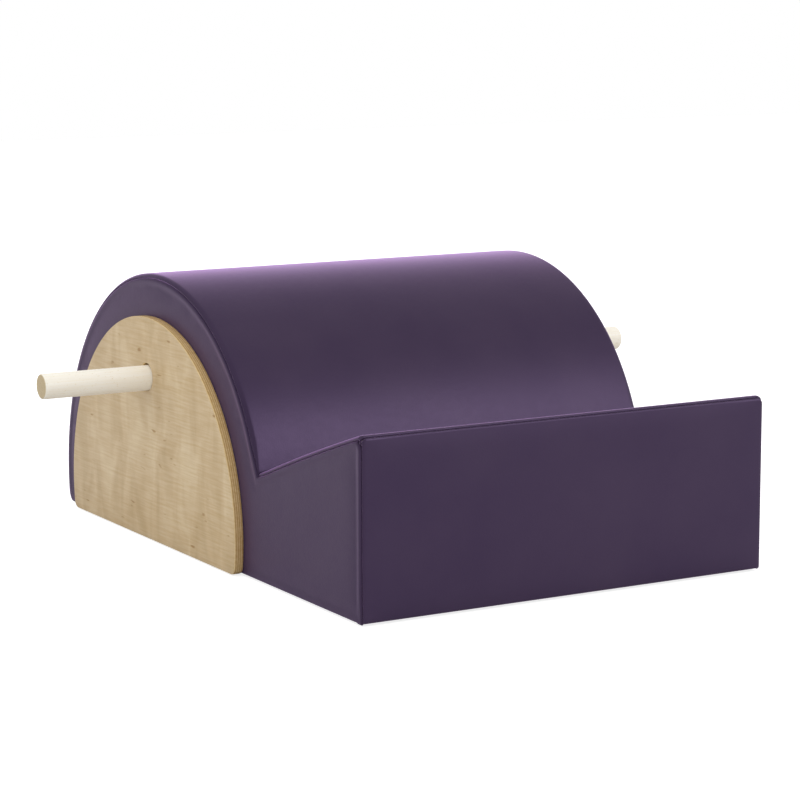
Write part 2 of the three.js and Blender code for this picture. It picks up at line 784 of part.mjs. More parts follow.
const foot_rails = rails.filter(({ name }) => name === 'front_foot_rail' || name === 'rear_foot_rail');
const feet = foot_rails.flatMap(({ y }) => [-1, 1].map((side) => ({ x: (side * foot_spacing) / 2, y })));
const pilot_holes = feet.map(({ x, y }) => {
  const radius = foot_screw_diameter / 2 + touch_gap;
  const depth = foot_screw_recess + foot_screw_length + touch_gap;
  const geometry = new THREE.CylinderGeometry(radius, radius, 2 * depth, small_round_sides);
  geometry.rotateX(Math.PI / 2);
  geometry.translate(x, y, 0);
  return solid(geometry);
});
const no_room = { ahead: 0, behind: 0, below: 0, above: 0 };
for (const rail of rails) {
  const board = railSolid(rail, [-rail_half_length, rail_half_length], no_room);
  const drilled = foot_rails.includes(rail)
    ? pilot_holes.reduce((wood, hole) => wood.subtract(hole), board)
    : board;
  placeSolid(rail.name, drilled, pine);
}

const left_panel = leftPanel();
placeSolid('left_side_panel', left_panel, birch);
placeSolid('right_side_panel', mirrored(left_panel), birch);

place('guide_tube', guideTube(), tube_plastic).position.set(0, barrel_y, handle_z);
place('handle_bar', handleBar(), dowel_wood).position.set(0, barrel_y, handle_z - handle_rest_drop);

// The bolts and inserts are turned pieces, so the left ones are the right ones turned to face the other way
for (const [side, way, turn] of [['left', -1, Math.PI], ['right', 1, 0]]) {
  boltPlaces().forEach((at, i) => {
    const bolt = place(`${side}_panel_bolt_${i + 1}`, panelBolt(), zinc);
    bolt.position.set(way * (rib_inner_x - touch_gap), at.x, at.y);
    bolt.rotation.y = turn;
    const insert = place(`${side}_panel_insert_${i + 1}`, threadedInsert(), zinc);
    insert.position.set(way * panel_inner_x, at.x, at.y);
    insert.rotation.y = turn;
  });
}

const upright = new THREE.Euler(0, -Math.PI / 2, 0);
feet.forEach(({ x, y }, i) => {
  const rubber_foot = place(`rubber_foot_${i + 1}`, foot(), rubber);
  rubber_foot.position.set(x, y, 0);
  rubber_foot.rotation.copy(upright);
  const screw = place(`foot_screw_${i + 1}`, footScrew(), zinc);
  screw.position.set(x, y, foot_screw_recess);
  screw.rotation.copy(upright);
});
placeSolid('bottom_liner', bottomLiner(feet), liner_cloth);

export default spine_corrector;
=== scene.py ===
# %% [markdown]
# # Dressing a pilates spine corrector
# The CAD model already holds every solid at its real size: a plywood frame, foam, thin covers, two plywood
# side panels and a wooden bar. This script puts the looks on it. The hard parts keep their solids and get
# materials of wood, steel and rubber, or are rebuilt more finely, and the upholstery is rebuilt as real
# upholstery is made: separate sheets of vinyl over foam, rolled at their edges and sewn together in seams.

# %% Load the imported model
import math

import bmesh
import bpy
from mathutils import Matrix, Vector


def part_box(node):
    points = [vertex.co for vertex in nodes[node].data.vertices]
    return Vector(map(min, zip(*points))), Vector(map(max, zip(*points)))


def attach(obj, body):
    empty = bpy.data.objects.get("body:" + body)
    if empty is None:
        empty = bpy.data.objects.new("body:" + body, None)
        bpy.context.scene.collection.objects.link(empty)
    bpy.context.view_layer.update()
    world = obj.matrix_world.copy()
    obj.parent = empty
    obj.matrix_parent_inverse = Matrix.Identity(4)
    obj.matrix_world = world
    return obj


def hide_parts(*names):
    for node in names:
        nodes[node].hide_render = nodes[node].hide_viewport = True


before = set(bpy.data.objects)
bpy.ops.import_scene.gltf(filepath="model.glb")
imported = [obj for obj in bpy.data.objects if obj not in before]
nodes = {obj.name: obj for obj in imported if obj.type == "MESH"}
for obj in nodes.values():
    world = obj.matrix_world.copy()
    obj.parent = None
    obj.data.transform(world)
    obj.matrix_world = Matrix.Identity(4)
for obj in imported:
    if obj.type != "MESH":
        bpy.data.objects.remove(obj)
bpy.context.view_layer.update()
scene = bpy.context.scene

# %% [markdown]
# ## The camera and the colour setting
# The camera's place and lens were solved from the straight edges and the two arcs that the photograph shows.
# It stands some 3 m in front and to the left, a little above the barrel, behind a long lens.

# %% Camera
camera_data = bpy.data.cameras.new("camera")
camera_data.lens = 116.62
camera_data.sensor_width = 36
camera_data.clip_end = 60
camera = bpy.data.objects.new("camera", camera_data)
scene.collection.objects.link(camera)
turn = (
    Matrix.Rotation(math.radians(-29.982), 4, "Z")
    @ Matrix.Rotation(math.radians(90 - 9.201), 4, "X")
    @ Matrix.Rotation(math.radians(-0.155), 4, "Z")
)
camera.matrix_world = Matrix.Translation((-1.62507, -2.83933, 0.70387)) @ turn
scene.camera = camera
scene.view_settings.view_transform = "Standard"

# %% [markdown]
# ## The sizes of the body
# The side view of the upholstered body is the same as in the CAD: a barrel arc of 296 mm radius that meets a
# gently crowned ramp in a V. All the sizes are written once, in metres, and the rest follows from them. Only
# the lip is finer than in the CAD: the ramp's vinyl rolls over it at 10 mm, the front's comes up to it at
# 3.5 mm, and both turn in tightly where they are sewn together.

# %% Sizes
mm = 0.001
half_width = 275 * mm
front_y = -415 * mm
barrel = Vector((0, 119, 44)) * mm
barrel_radius = 296 * mm
lip_height = 216.9 * mm
well_height = 132 * mm
ramp_crown = 2 * mm
underside = 3 * mm
rear_foot_radius = 14 * mm
front_foot_radius = 4 * mm
lip_radius = 10 * mm
lip_setback = 8.6 * mm
lip_fold = 1.2 * mm
brow_radius = 3.5 * mm
brow_drop = 5.45 * mm
brow_fold = 0.8 * mm
roll_width = 7 * mm
vinyl_thickness = 1.2 * mm

well_y = barrel.y - math.sqrt(barrel_radius**2 - (well_height - barrel.z) ** 2)
ramp_run = well_y - front_y
ramp_fall = lip_height - well_height
ramp_length = math.hypot(ramp_run, ramp_fall)
ramp_slope = math.atan2(ramp_fall, ramp_run)
ramp_radius = ramp_length**2 / (8 * ramp_crown) + ramp_crown / 2
ramp_normal = Vector((0, math.sin(ramp_slope), math.cos(ramp_slope)))
ramp_middle = Vector((0, (front_y + well_y) / 2, (lip_height + well_height) / 2))
ramp = ramp_middle - ramp_normal * (ramp_radius - ramp_crown)
well = Vector((0, well_y, well_height))
print("the seat's V lies at", [round(v, 4) for v in well])
print("the ramp slopes by", round(math.degrees(ramp_slope), 1), "degrees")

# %% [markdown]
# ## Tools for side views
# Most of the body is a side view carried along something. Angles in the side view count from the rear (0
# degrees) over the top (90) to the front (180), as the CAD source counts them. A spin about an axis along X
# makes every arc, so the helpers only find where an arc starts and how far it goes.


# %% Side view helpers
def towards(angle):
    """The direction of an angle in the side view."""
    return Vector((0, math.cos(angle), math.sin(angle)))


def angle_at(centre, spot):
    """The angle at which a spot is seen from a centre, from -90 to 270 degrees."""
    found = math.atan2(spot.z - centre.z, spot.y - centre.y)
    return found + 2 * math.pi if found < -math.pi / 2 else found


def crossing(centre_a, radius_a, centre_b, radius_b):
    """Where two circles of the side view cross, on the upper side."""
    between = centre_b - centre_a
    distance = between.length
    along = (radius_a**2 - radius_b**2 + distance**2) / (2 * distance)
    across = math.sqrt(radius_a**2 - along**2)
    forward = between / distance
    sideways = Vector((0, -forward.z, forward.y))
    both = [centre_a + forward * along + sideways * across * side for side in (1, -1)]
    return max(both, key=lambda spot: spot.z)


rear_foot = Vector((0, 0, underside + rear_foot_radius))
rear_foot.y = barrel.y + math.sqrt((barrel_radius - rear_foot_radius) ** 2 - (rear_foot.z - barrel.z) ** 2)
rear_angle = angle_at(barrel, rear_foot)
front_foot = Vector((0, front_y + front_foot_radius, underside + front_foot_radius))
lip = Vector((0, front_y + lip_setback, 0))
lip.z = ramp.z + math.sqrt((ramp_radius - lip_radius) ** 2 - (lip.y - ramp.y) ** 2)
lip_angle = angle_at(ramp, lip)
lip_top = lip.z + lip_radius
brow = Vector((0, front_y + brow_radius, lip_top - brow_drop))
print("the lip's top lies at", round(lip_top, 4))

# %% [markdown]
# ## Tools for building meshes
# A bmesh holds a mesh while it is shaped. A cover starts as its cross-section: a line of points across the
# body, from the middle out to the left seam. The line is then spun or slid along the side view, which leaves
# a sheet behind it, and the right half is mirrored from the left. Drawing half of a piece and mirroring it is
# how pattern makers work too, and it keeps both sides alike.


# %% Mesh helpers
def bend(bm, moving, centre, angle, steps, axis=(1, 0, 0)):
    """Spins points or edges about an axis through a centre, and returns what the spin ends on."""
    made = bmesh.ops.spin(bm, geom=moving, cent=centre, axis=axis, angle=angle, steps=steps)
    return made["geom_last"]


def slide(bm, edges, step):
    """Extrudes edges and moves what it made by one step."""
    made = bmesh.ops.extrude_edge_only(bm, edges=edges)["geom"]
    moved = [v for v in made if isinstance(v, bmesh.types.BMVert)]
    bmesh.ops.translate(bm, verts=moved, vec=step)
    return [e for e in made if isinstance(e, bmesh.types.BMEdge) and all(v in moved for v in e.verts)]


def edges_of(found):
    return [e for e in found if isinstance(e, bmesh.types.BMEdge)]


def verts_of(found):
    return [v for v in found if isinstance(v, bmesh.types.BMVert)]


def object_from(bm, name):
    """Puts a bmesh into a new object at the origin."""
    mesh = bpy.data.meshes.new(name)
    bm.to_mesh(mesh)
    bm.free()
    made = bpy.data.objects.new(name, mesh)
    scene.collection.objects.link(made)
    return made


def shade(piece, sharp):
    """Smooth shading that breaks where two faces meet at more than an angle in degrees."""
    piece.data.polygons.foreach_set("use_smooth", [True] * len(piece.data.polygons))
    piece.data.set_sharp_from_angle(angle=math.radians(sharp))


# %% [markdown]
# ## The cross-section of a cover
# At its side edge the vinyl rolls over the foam's rounded edge, and turns in at the seam, where it is sewn to
# the side's vinyl. So the line goes flat, then round the roll, then round a much tighter turn and down into
# the seam. An ordinary sewn seam has no cord in it: what the eye sees is the shadow in that little groove,
# and the light on the turn beside it.

# %% Cross-section
seam_turn = 1.2 * mm
seam_wall = 2.2 * mm
columns = 22
roll_steps = 6
turn_steps = 4
outermost = 273.6 * mm


def once(elements):
    """Lists each element once, in the order met, as a set's order changes from run to run."""
    return list(dict.fromkeys(elements))


def ends_of(edges):
    return once(v for e in edges for v in e.verts)


def cross_section(bm, roll_depth, roll_angle, seam_depth=seam_wall):
    """Draws half a cross-section lying flat, with the outside up: from the middle out to the left seam.

    Each point remembers its column: 0 on the flat, then counting up over the roll and down the seam. Returns
    the points, and how far each column lies below the flat.
    """
    column = bm.verts.layers.int.new("column")
    flat_x = roll_width - half_width
    start = bm.verts.new((flat_x, 0, 0))
    rolled = bend(bm, [start], (flat_x, 0, -roll_width), -roll_angle, roll_steps, axis=(0, 1, 0))
    bmesh.ops.scale(bm, verts=bm.verts, vec=(1, 1, roll_depth / roll_width))
    end = verts_of(rolled)[0]
    before = end.link_edges[0].other_vert(end)
    heading = (end.co - before.co).normalized()
    inward = Vector((-heading.z, 0, heading.x))
    if inward.z > 0:
        inward.negate()
    turned = bend(bm, [end], end.co + inward * seam_turn, -math.pi / 2, turn_steps, axis=(0, 1, 0))
    down = bmesh.ops.extrude_vert_indiv(bm, verts=verts_of(turned))
    bmesh.ops.translate(bm, verts=down["verts"], vec=inward * seam_depth)
    for number, v in enumerate(bm.verts):
        v[column] = number
    drops = [-v.co.z for v in bm.verts]
    middle = bmesh.ops.extrude_vert_indiv(bm, verts=[start])
    middle["verts"][0].co.x = 0
    bmesh.ops.subdivide_edges(bm, edges=middle["edges"], cuts=columns - 1)
    bmesh.ops.remove_doubles(bm, verts=bm.verts, dist=0.01 * mm)
    return list(bm.verts), drops


def stand_up(bm, spot, normal):
    """Moves the flat cross-section to a spot of the side view, with its outside along the normal."""
    angle = math.atan2(normal.z, normal.y) - math.pi / 2
    bmesh.ops.rotate(bm, verts=bm.verts, cent=(0, 0, 0), matrix=Matrix.Rotation(angle, 3, "X"))
    bmesh.ops.translate(bm, verts=bm.verts, vec=spot)


def turn_under(bm, edges, along, inward, radius):
    """Ends a sheet at a seam that runs across the body: a small quarter turn, then down into the seam."""
    for share_along, share_in in ((0.5, 0.13), (0.37, 0.37), (0.13, 0.5), (0, 0.8)):
        edges = slide(bm, edges, (along * share_along + inward * share_in) * radius)


def settle(bm, foot, radius):
    """Lets the rolled side edge run out towards the floor where a sheet goes round a foot of the body."""
    for v in bm.verts:
        beyond = (v.co.y - foot.y) * (1 if foot.y > 0 else -1)
        if beyond > -1e-6 and v.co.z < foot.z:
            reach = math.hypot(v.co.y - foot.y, v.co.z - foot.z)
            share = (foot.z - v.co.z) / max(reach, 1e-6)
            v.co.z -= (radius - reach) * share**2


draw_steps = 5


def climb(bm, edges, radius, first, last, steps, draw_back=None):
    """Carries edges along an arc of the side view without turning them, and returns the last edges.

    With draw_back, a distance for each column, the side roll moves to the rear over the first steps.
    """
    for i in range(steps):
        angles = [first + (last - first) * (i + part) / steps for part in (0, 1)]
        edges = slide(bm, edges, (towards(angles[1]) - towards(angles[0])) * radius)
        if draw_back and i < draw_steps:
            for v in ends_of(edges):
                v.co.y += draw_back[v[bm.verts.layers.int["column"]]] / draw_steps
    return edges


def smooth_share(value, low, high):
    """A share that grows smoothly from 0 at the low value to 1 at the high one."""
    t = min(max((value - low) / (high - low), 0), 1)
    return t * t * (3 - 2 * t)


def pinch_share(run, reach, least):
    """How much of the side roll's full size is left at a run along the sheet from the seat's V."""
    return least + (1 - least) * smooth_share(abs(run), 0, reach)


def pinch(bm, centre, radius, reach, least, drops):
    """Narrows a sheet's side roll towards the seat's V, where three sheets are sewn into one corner."""
    column = bm.verts.layers.int["column"]
    seam = drops[roll_steps + turn_steps]
    for v in bm.verts:
        run = (angle_at(centre, v.co) - angle_at(centre, well)) * radius
        share = pinch_share(run, reach, least)
        if share > 0.999 or v.co.x > roll_width - half_width + 0.01 * mm:
            continue
        drop = drops[v[column]]
        less = min(drop, seam) * (1 - share)
        v.co += towards(angle_at(centre, v.co)) * less
        if v[column] <= roll_steps + turn_steps:
            v.co.x = (v.co.x + outermost) * share - outermost


def both_halves(bm, name):
    """Mirrors the left half to the right, closes the middle and turns the faces outwards."""
    bmesh.ops.mirror(bm, geom=bm.verts[:] + bm.edges[:] + bm.faces[:], axis="X", merge_dist=0.05 * mm)
    bmesh.ops.remove_doubles(bm, verts=bm.verts, dist=0.02 * mm)
    bmesh.ops.recalc_face_normals(bm, faces=bm.faces)
    highest = max(bm.faces, key=lambda f: f.calc_center_median().z)
    if highest.normal.z < 0:
        bmesh.ops.reverse_faces(bm, faces=bm.faces)
    piece = object_from(bm, name)
    print(name, "has", len(piece.data.polygons), "faces before it is finished")
    return piece


# %% [markdown]
# ## The barrel cover
# The barrel's vinyl is one sheet, pulled over thick foam from the seat's V to under the rear edge. It has the
# shape of a cross-section carried round the barrel's axis, so a spin makes it. Behind, it goes round the rear
# foot and is stapled under the frame, which is the flat hem at its end. The hem runs on until it meets the
# side covers' hems, so the underside has no gap at its rear corners.

# %% Barrel cover
side_roll = (7 * mm, math.radians(58))  # its depth and its angle
barrel_pinch = (40 * mm, 0.35)  # its reach from the V, and the share of the roll that is left there
barrel_hem = 22.9 * mm
crease_gap = 2.2 * mm
crease_turn = 1.8 * mm
barrel_well_angle = angle_at(barrel, well)
barrel_start = barrel_well_angle - crease_gap / barrel_radius
up_the_ramp = Vector((0, -math.cos(ramp_slope), math.sin(ramp_slope)))
crease = (towards(barrel_well_angle - math.pi / 2) + up_the_ramp).normalized()

bm = bmesh.new()
all_verts, barrel_drops = cross_section(bm, *side_roll)
stand_up(bm, barrel + towards(barrel_start) * barrel_radius, towards(barrel_start))
end = bend(bm, bm.verts[:] + bm.edges[:], barrel, rear_angle - barrel_start, 120)
first_row = [e for e in bm.edges if all(v in all_verts for v in e.verts)]
end = bend(bm, end, rear_foot, -math.pi / 2 - rear_angle, 8)
settle(bm, rear_foot, rear_foot_radius)
slide(bm, edges_of(end), Vector((0, -barrel_hem, 0)))
pinch(bm, barrel, barrel_radius, *barrel_pinch, barrel_drops)
turn_under(bm, first_row, towards(barrel_well_angle + math.pi / 2), -crease, crease_turn)
barrel_cover = both_halves(bm, "barrel_vinyl")

# %% [markdown]
# ## The ramp cover
# The ramp's vinyl runs from the V up to the lip. There it rolls over the edge and turns in at the seam that
# joins it to the front, a little over 2 mm below the top. Its side rolls draw back on the way, to meet the
# front's corners.

# %% Ramp cover
front_roll = (4 * mm, math.radians(38.5), 0.4 * mm)  # its depth, its angle and the seam's depth
ramp_pinch = (14 * mm, 0.6)  # its reach and share, as for the barrel
lip_turned = math.radians(112)
lip_tucked = math.radians(200)
lip_seam = Vector((0, 0.8, -2.2)) * mm
ramp_well_angle = angle_at(ramp, well)
ramp_start = ramp_well_angle + crease_gap / ramp_radius

bm = bmesh.new()
all_verts, ramp_drops = cross_section(bm, *side_roll)
stand_up(bm, ramp + towards(ramp_start) * ramp_radius, towards(ramp_start))
end = bend(bm, bm.verts[:] + bm.edges[:], ramp, lip_angle - ramp_start, 22)
first_row = [e for e in bm.edges if all(v in all_verts for v in e.verts)]
sample = bmesh.new()
front_drops = cross_section(sample, *front_roll)[1]
sample.free()
draw_back = [math.cos(lip_angle) * side + front for side, front in zip(ramp_drops, front_drops)]
end = climb(bm, edges_of(end), lip_radius, lip_angle, lip_turned, 7, draw_back)
end = climb(bm, end, lip_fold, lip_turned, lip_tucked, 5)
slide(bm, end, lip_seam)
pinch(bm, ramp, ramp_radius, *ramp_pinch, ramp_drops)
turn_under(bm, first_row, towards(ramp_well_angle - math.pi / 2), -crease, crease_turn)
ramp_cover = both_halves(bm, "ramp_vinyl")

# %% [markdown]
# ## The front cover
# A flat sheet over 10 mm of foam, from the lip's seam down, round the front foot and under the frame. It
# rounds over a little under the seam, and its top corners bend down with the ramp's rolled sides.

# %% Front cover
brow_turned = math.radians(120)
brow_tucked = math.radians(20)
brow_seam = Vector((0, 0.5, -1.8)) * mm
rows = 18
front_hem = 11 * mm
corner_bend = 15 * mm

bm = bmesh.new()
cross_section(bm, *front_roll)
stand_up(bm, Vector((0, front_y, brow.z)), towards(math.pi))
end = bm.edges[:]
top = climb(bm, end, brow_radius, math.pi, brow_turned, 5)
top = climb(bm, top, brow_fold, brow_turned, brow_tucked, 5)
slide(bm, top, brow_seam)
for _ in range(rows):
    end = slide(bm, end, Vector((0, 0, front_foot.z - brow.z)) / rows)
end = bend(bm, end + ends_of(end), front_foot, math.pi / 2, 4)
settle(bm, front_foot, front_foot_radius)
slide(bm, edges_of(end), Vector((0, front_hem, 0)))
column = bm.verts.layers.int["column"]
for v in bm.verts:
    bent = smooth_share(v.co.z, brow.z - corner_bend, brow.z)
    v.co.z -= math.sin(lip_angle) * ramp_drops[v[column]] * bent
front_cover = both_halves(bm, "front_vinyl")

# %% [markdown]
# ## The side covers
# A side's vinyl is cut to the side view and sewn in all round. It is built from rings: the same outline drawn
# again and again, each a little further in and at its own depth. The first two are the wall of the seam's
# groove. The next ones come out of it and over the seam allowance, which lies under the vinyl as a soft
# ridge. Bridges join the rings, a flat face fills the last, and planes cut it into a grid so that it can
# swell later. Underneath, the groove's wall is taken away again, and a hem runs inwards under the frame.

# %% Side cover outline
front_drop = 3.2 * mm
corner_radius = 9.5 * mm
foot_turn = 0.8 * mm
groove_gap = 0.65 * mm


def arc_from(bm, start, centre, angle, steps):
    """Carries one point round an arc and returns the point it ends on."""
    return verts_of(bend(bm, [start], centre, angle, steps))[0]


def line_to(bm, start, spot, pieces):
    """Draws a straight line of edges from a point to a spot, and returns the point at its end."""
    step = (spot - start.co) / pieces
    for _ in range(pieces):
        made = bmesh.ops.extrude_vert_indiv(bm, verts=[start])
        bmesh.ops.translate(bm, verts=made["verts"], vec=step)
        start = made["verts"][0]
    return start


def groove_arc(bm, start, end, crease_spot, gap, centre, radius, reach, least, steps):
    """Draws the outline along one arc of the body, a gap below the seam of the sheet that meets it there."""
    across = Vector((start.co.x, 0, 0))
    crease_angle = angle_at(centre, crease_spot)
    before = set(bm.verts) - {start}
    last = arc_from(bm, start, centre + across, angle_at(centre, end) - angle_at(centre, start.co), steps)
    for v in [v for v in bm.verts if v not in before]:
        angle = angle_at(centre, v.co)
        share = pinch_share((angle - crease_angle) * radius, reach, least)
        v.co = centre + towards(angle) * (radius - seam * share - gap) + across
    return last


def foot_arc(bm, start, centre, angle, steps, level):
    """Carries a point round a foot of the body, and stretches the turn down to a level."""
    reach = (start.co - centre).length
    before = set(bm.verts)
    last = arc_from(bm, start, centre, angle, steps)
    for v in [v for v in bm.verts if v not in before]:
        share = max((centre.z - v.co.z) / reach, 0)
        v.co.z -= (centre.z - reach - level) * share**2
    return last


seam = barrel_drops[roll_steps + turn_steps]


def side_ring(bm, x, inset):
    """Draws the side view's closed outline at one depth, an inset inside the seams, and returns its edges."""
    before = set(bm.edges)
    gap = groove_gap + inset
    level = underside + inset
    ramp_reach = ramp_radius - ramp_pinch[1] * seam - gap
    v_spot = crossing(ramp, ramp_reach, barrel, barrel_radius - barrel_pinch[1] * seam - gap)
    small = max(corner_radius - inset, 0.5 * mm)
    corner = Vector((x, front_y + front_drop + inset + small, 0))
    corner.z = ramp.z + math.sqrt((ramp_radius - seam - gap - small) ** 2 - (corner.y - ramp.y) ** 2)
    start = bm.verts.new(barrel + towards(rear_angle) * barrel_radius + Vector((x, 0, 0)))
    spot = groove_arc(bm, start, v_spot, v_spot, gap, barrel, barrel_radius, *barrel_pinch, 110)
    spot = groove_arc(bm, spot, corner, v_spot, gap, ramp, ramp_radius, *ramp_pinch, 30)
    spot = arc_from(bm, spot, corner, math.pi - angle_at(ramp, corner), 8)
    small = max(foot_turn - inset, 0.3 * mm)
    foot = Vector((x, spot.co.y + small, max(front_foot.z, level + small)))
    spot = line_to(bm, spot, Vector((x, spot.co.y, foot.z)), pieces=20)
    spot = foot_arc(bm, spot, foot, math.pi / 2, 3, level)
    behind = bm.verts.new(start.co)
    small = max(rear_foot_radius - seam - gap, 0.5 * mm)
    foot = start.co - towards(rear_angle) * small
    low = foot_arc(bm, behind, foot, -math.pi / 2 - rear_angle, 8, level)
    line_to(bm, spot, low.co, pieces=70)
    drawn = ends_of(e for e in bm.edges if e not in before)
    bmesh.ops.remove_doubles(bm, verts=drawn, dist=0.05 * mm)
    return [e for e in bm.edges if e not in before]


# %% Side cover
groove_and_ridge = (
    (-270.9, 1.2), (-272.8, 0), (-274.1, 0.1), (-274.9, 0.6), (-275.4, 1.8), (-275.5, 4.4), (-275.1, 6.8),
    (-274.8, 9.0), (-275.0, 12.5),
)  # each ring's depth along X and its inset from the seams, in millimetres
grid_step = 14  # millimetres
side_hem = 12.8 * mm
hem_front, hem_rear = -400 * mm, 385 * mm
floor_edge = 22 * mm


def in_hem(edge):
    """Whether an edge of the groove's rim lies on the flat underside, between the two feet."""
    return all(v.co.z < underside + 0.3 * mm and hem_front < v.co.y < hem_rear for v in edge.verts)


def side_cover(name):
    """Builds the left side's cover: the groove's wall, rim, ridge, grid and hem."""
    bm = bmesh.new()
    rings = []
    for x, inset in groove_and_ridge:
        rings.append(side_ring(bm, x * mm, inset * mm))
        if len(rings) > 1:
            bmesh.ops.bridge_loops(bm, edges=rings[-2] + rings[-1])
    bmesh.ops.contextual_create(bm, geom=rings[-1])
    middles = [(f, f.calc_center_median()) for f in bm.faces]
    wall = [f for f, middle in middles if middle.z < underside + mm and middle.x > -272.7 * mm]
    bmesh.ops.delete(bm, geom=wall, context="FACES")
    slide(bm, [e for e in rings[1] if e.is_valid and in_hem(e)], Vector((side_hem, 0, 0)))
    for v in bm.verts:
        if v.co.z < floor_edge:
            v.co.x = max(v.co.x, -half_width)
    for axis, count, first in ((1, 58, -0.41), (2, 23, 0.008)):
        for i in range(count):
            place = Vector((0, 0, 0))
            place[axis] = first + i * grid_step * mm
            flat = [f for f in bm.faces if abs(f.calc_center_median().x + half_width) < 0.001 * mm]
            cut = flat + once(e for f in flat for e in f.edges) + once(v for f in flat for v in f.verts)
            normal = Vector((0, 0, 0))
            normal[axis] = 1
            bmesh.ops.bisect_plane(bm, geom=cut, dist=0.01 * mm, plane_co=place, plane_no=normal)
    bmesh.ops.remove_doubles(bm, verts=bm.verts, dist=0.005 * mm)
    bmesh.ops.recalc_face_normals(bm, faces=bm.faces)
    if max(bm.faces, key=lambda f: f.calc_area()).normal.x > 0:
        bmesh.ops.reverse_faces(bm, faces=bm.faces)
    print(name, "has", len(bm.faces), "faces, from rings of", len(rings[0]), "edges")
    return bm


def mirrored_copy(bm):
    """The same mesh on the other side of the body, with its faces turned outwards again."""
    other = bm.copy()
    bmesh.ops.scale(other, verts=other.verts, vec=(-1, 1, 1))
    bmesh.ops.reverse_faces(other, faces=other.faces)
    return other


left = side_cover("left_side_vinyl")
right = mirrored_copy(left)
left_cover = object_from(left, "left_side_vinyl")
right_cover = object_from(right, "right_side_vinyl")

# %% [markdown]
# ## Stretching the vinyl over the foam
# Vinyl pulled over foam stands a little proud between its seams. A cloth simulation shows how: the sheet is
# held at its seams, a gentle pressure pushes it out from inside, and how far each point may go is capped,
# because tight foam hardly swells. All but the barrel's sheet reach their cap, so the cap sets the amount, and
# the simulation the form. At the sides the wooden panel clamps the vinyl flat, so what lies under the panel is
# held too.


# %% Swell the sheets
swell_pressure = 4.0
swell_frames = 12


def swell(piece, held, limit):
    """Blows a sheet up from behind with a cloth simulation and keeps the result, within a limit."""
    mesh = piece.data
    rest = [v.co.copy() for v in mesh.vertices]
    group = piece.vertex_groups.new(name="held")
    fixed = [v.index for v in mesh.vertices if held(v.co)]
    group.add(fixed, 1.0, "ADD")
    cloth = piece.modifiers.new("swell", "CLOTH")
    settings = cloth.settings
    settings.vertex_group_mass = "held"
    settings.quality = 6
    settings.mass = 0.3
    settings.tension_stiffness = 25
    settings.compression_stiffness = 25
    settings.shear_stiffness = 10
    settings.bending_stiffness = 2
    settings.use_pressure = True
    settings.uniform_pressure_force = swell_pressure
    settings.effector_weights.gravity = 0
    cloth.point_cache.frame_start = 1
    cloth.point_cache.frame_end = swell_frames
    for number in range(1, swell_frames + 1):
        scene.frame_set(number)
    done = piece.evaluated_get(bpy.context.evaluated_depsgraph_get())
    moved = [v.co.copy() for v in done.data.vertices]
    piece.modifiers.remove(cloth)
    piece.vertex_groups.remove(group)
    scene.frame_set(1)
    furthest = 0
    for v, was, now in zip(mesh.vertices, rest, moved):
        step = now - was
        furthest = max(furthest, step.length)
        if step.length > limit:
            step *= limit / step.length
        v.co = was + step
    print(piece.name, "swelled by", round(furthest / mm, 2), "mm, kept within", round(limit / mm, 2))


panel_centre = Vector((0, 118.5, 42.5)) * mm
panel_radius = 244.5 * mm
sewn_margin = 12 * mm


def side_held(co):
    """A side's vinyl is held round its rim, at its foot and under the panel."""
    on_rim = abs(abs(co.x) - half_width) > 0.02 * mm or co.z < sewn_margin
    return on_rim or (co - panel_centre).yz.length < panel_radius + 6 * mm


def by_side(co):
    return abs(co.x) > half_width - sewn_margin


def from_well(co):
    return (co - well).yz.length


def barrel_held(co):
    return by_side(co) or co.z < 30 * mm or from_well(co) < 20 * mm


def ramp_held(co):
    return by_side(co) or from_well(co) < 10 * mm or co.y < front_y + sewn_margin


def front_held(co):
    return by_side(co) or co.y > front_y + 0.5 * mm or co.z < sewn_margin


swell(left_cover, side_held, limit=0.6 * mm)
swell(right_cover, side_held, limit=0.6 * mm)
swell(barrel_cover, barrel_held, limit=0.8 * mm)
swell(ramp_cover, ramp_held, limit=1.2 * mm)
swell(front_cover, front_held, limit=0.8 * mm)

# %% [markdown]
# ## Finishing a sheet
# One subdivision rounds the sheet between its points, and Solidify gives the vinyl its 1.2 mm inwards, so the
# outside keeps its place.

# %% Thickness and riding
body = "body"


def finish_sheet(piece, *replaced, rounded=True):
    """Gives a sheet its thickness, and puts it in the place of its CAD nodes."""
    if rounded:
        round_off = piece.modifiers.new("round off", "SUBSURF")
        round_off.levels = 1
        round_off.render_levels = 1
    thickness = piece.modifiers.new("thickness", "SOLIDIFY")
    thickness.thickness = vinyl_thickness
    thickness.offset = -1
    shade(piece, 60)
    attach(piece, body)
    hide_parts(*replaced)


finish_sheet(barrel_cover, "barrel_cover")
finish_sheet(ramp_cover, "ramp_cover")
finish_sheet(front_cover, "front_cover")
finish_sheet(left_cover, "left_side_cover", rounded=False)
finish_sheet(right_cover, "right_side_cover", rounded=False)

# %% [markdown]
# ## Cutting holes
# A hole is cut as a machine would cut it: a cutter the size of the drill takes its shape out of the piece.
# The Boolean modifier does that, and its result is kept, so that no cutter stays in the scene.


# %% Cutters
def keep_modifiers(piece):
    """Makes a piece's modifiers part of its mesh."""
    done = piece.evaluated_get(bpy.context.evaluated_depsgraph_get())
    kept = bpy.data.meshes.new_from_object(done)
    piece.modifiers.clear()
    piece.data = kept


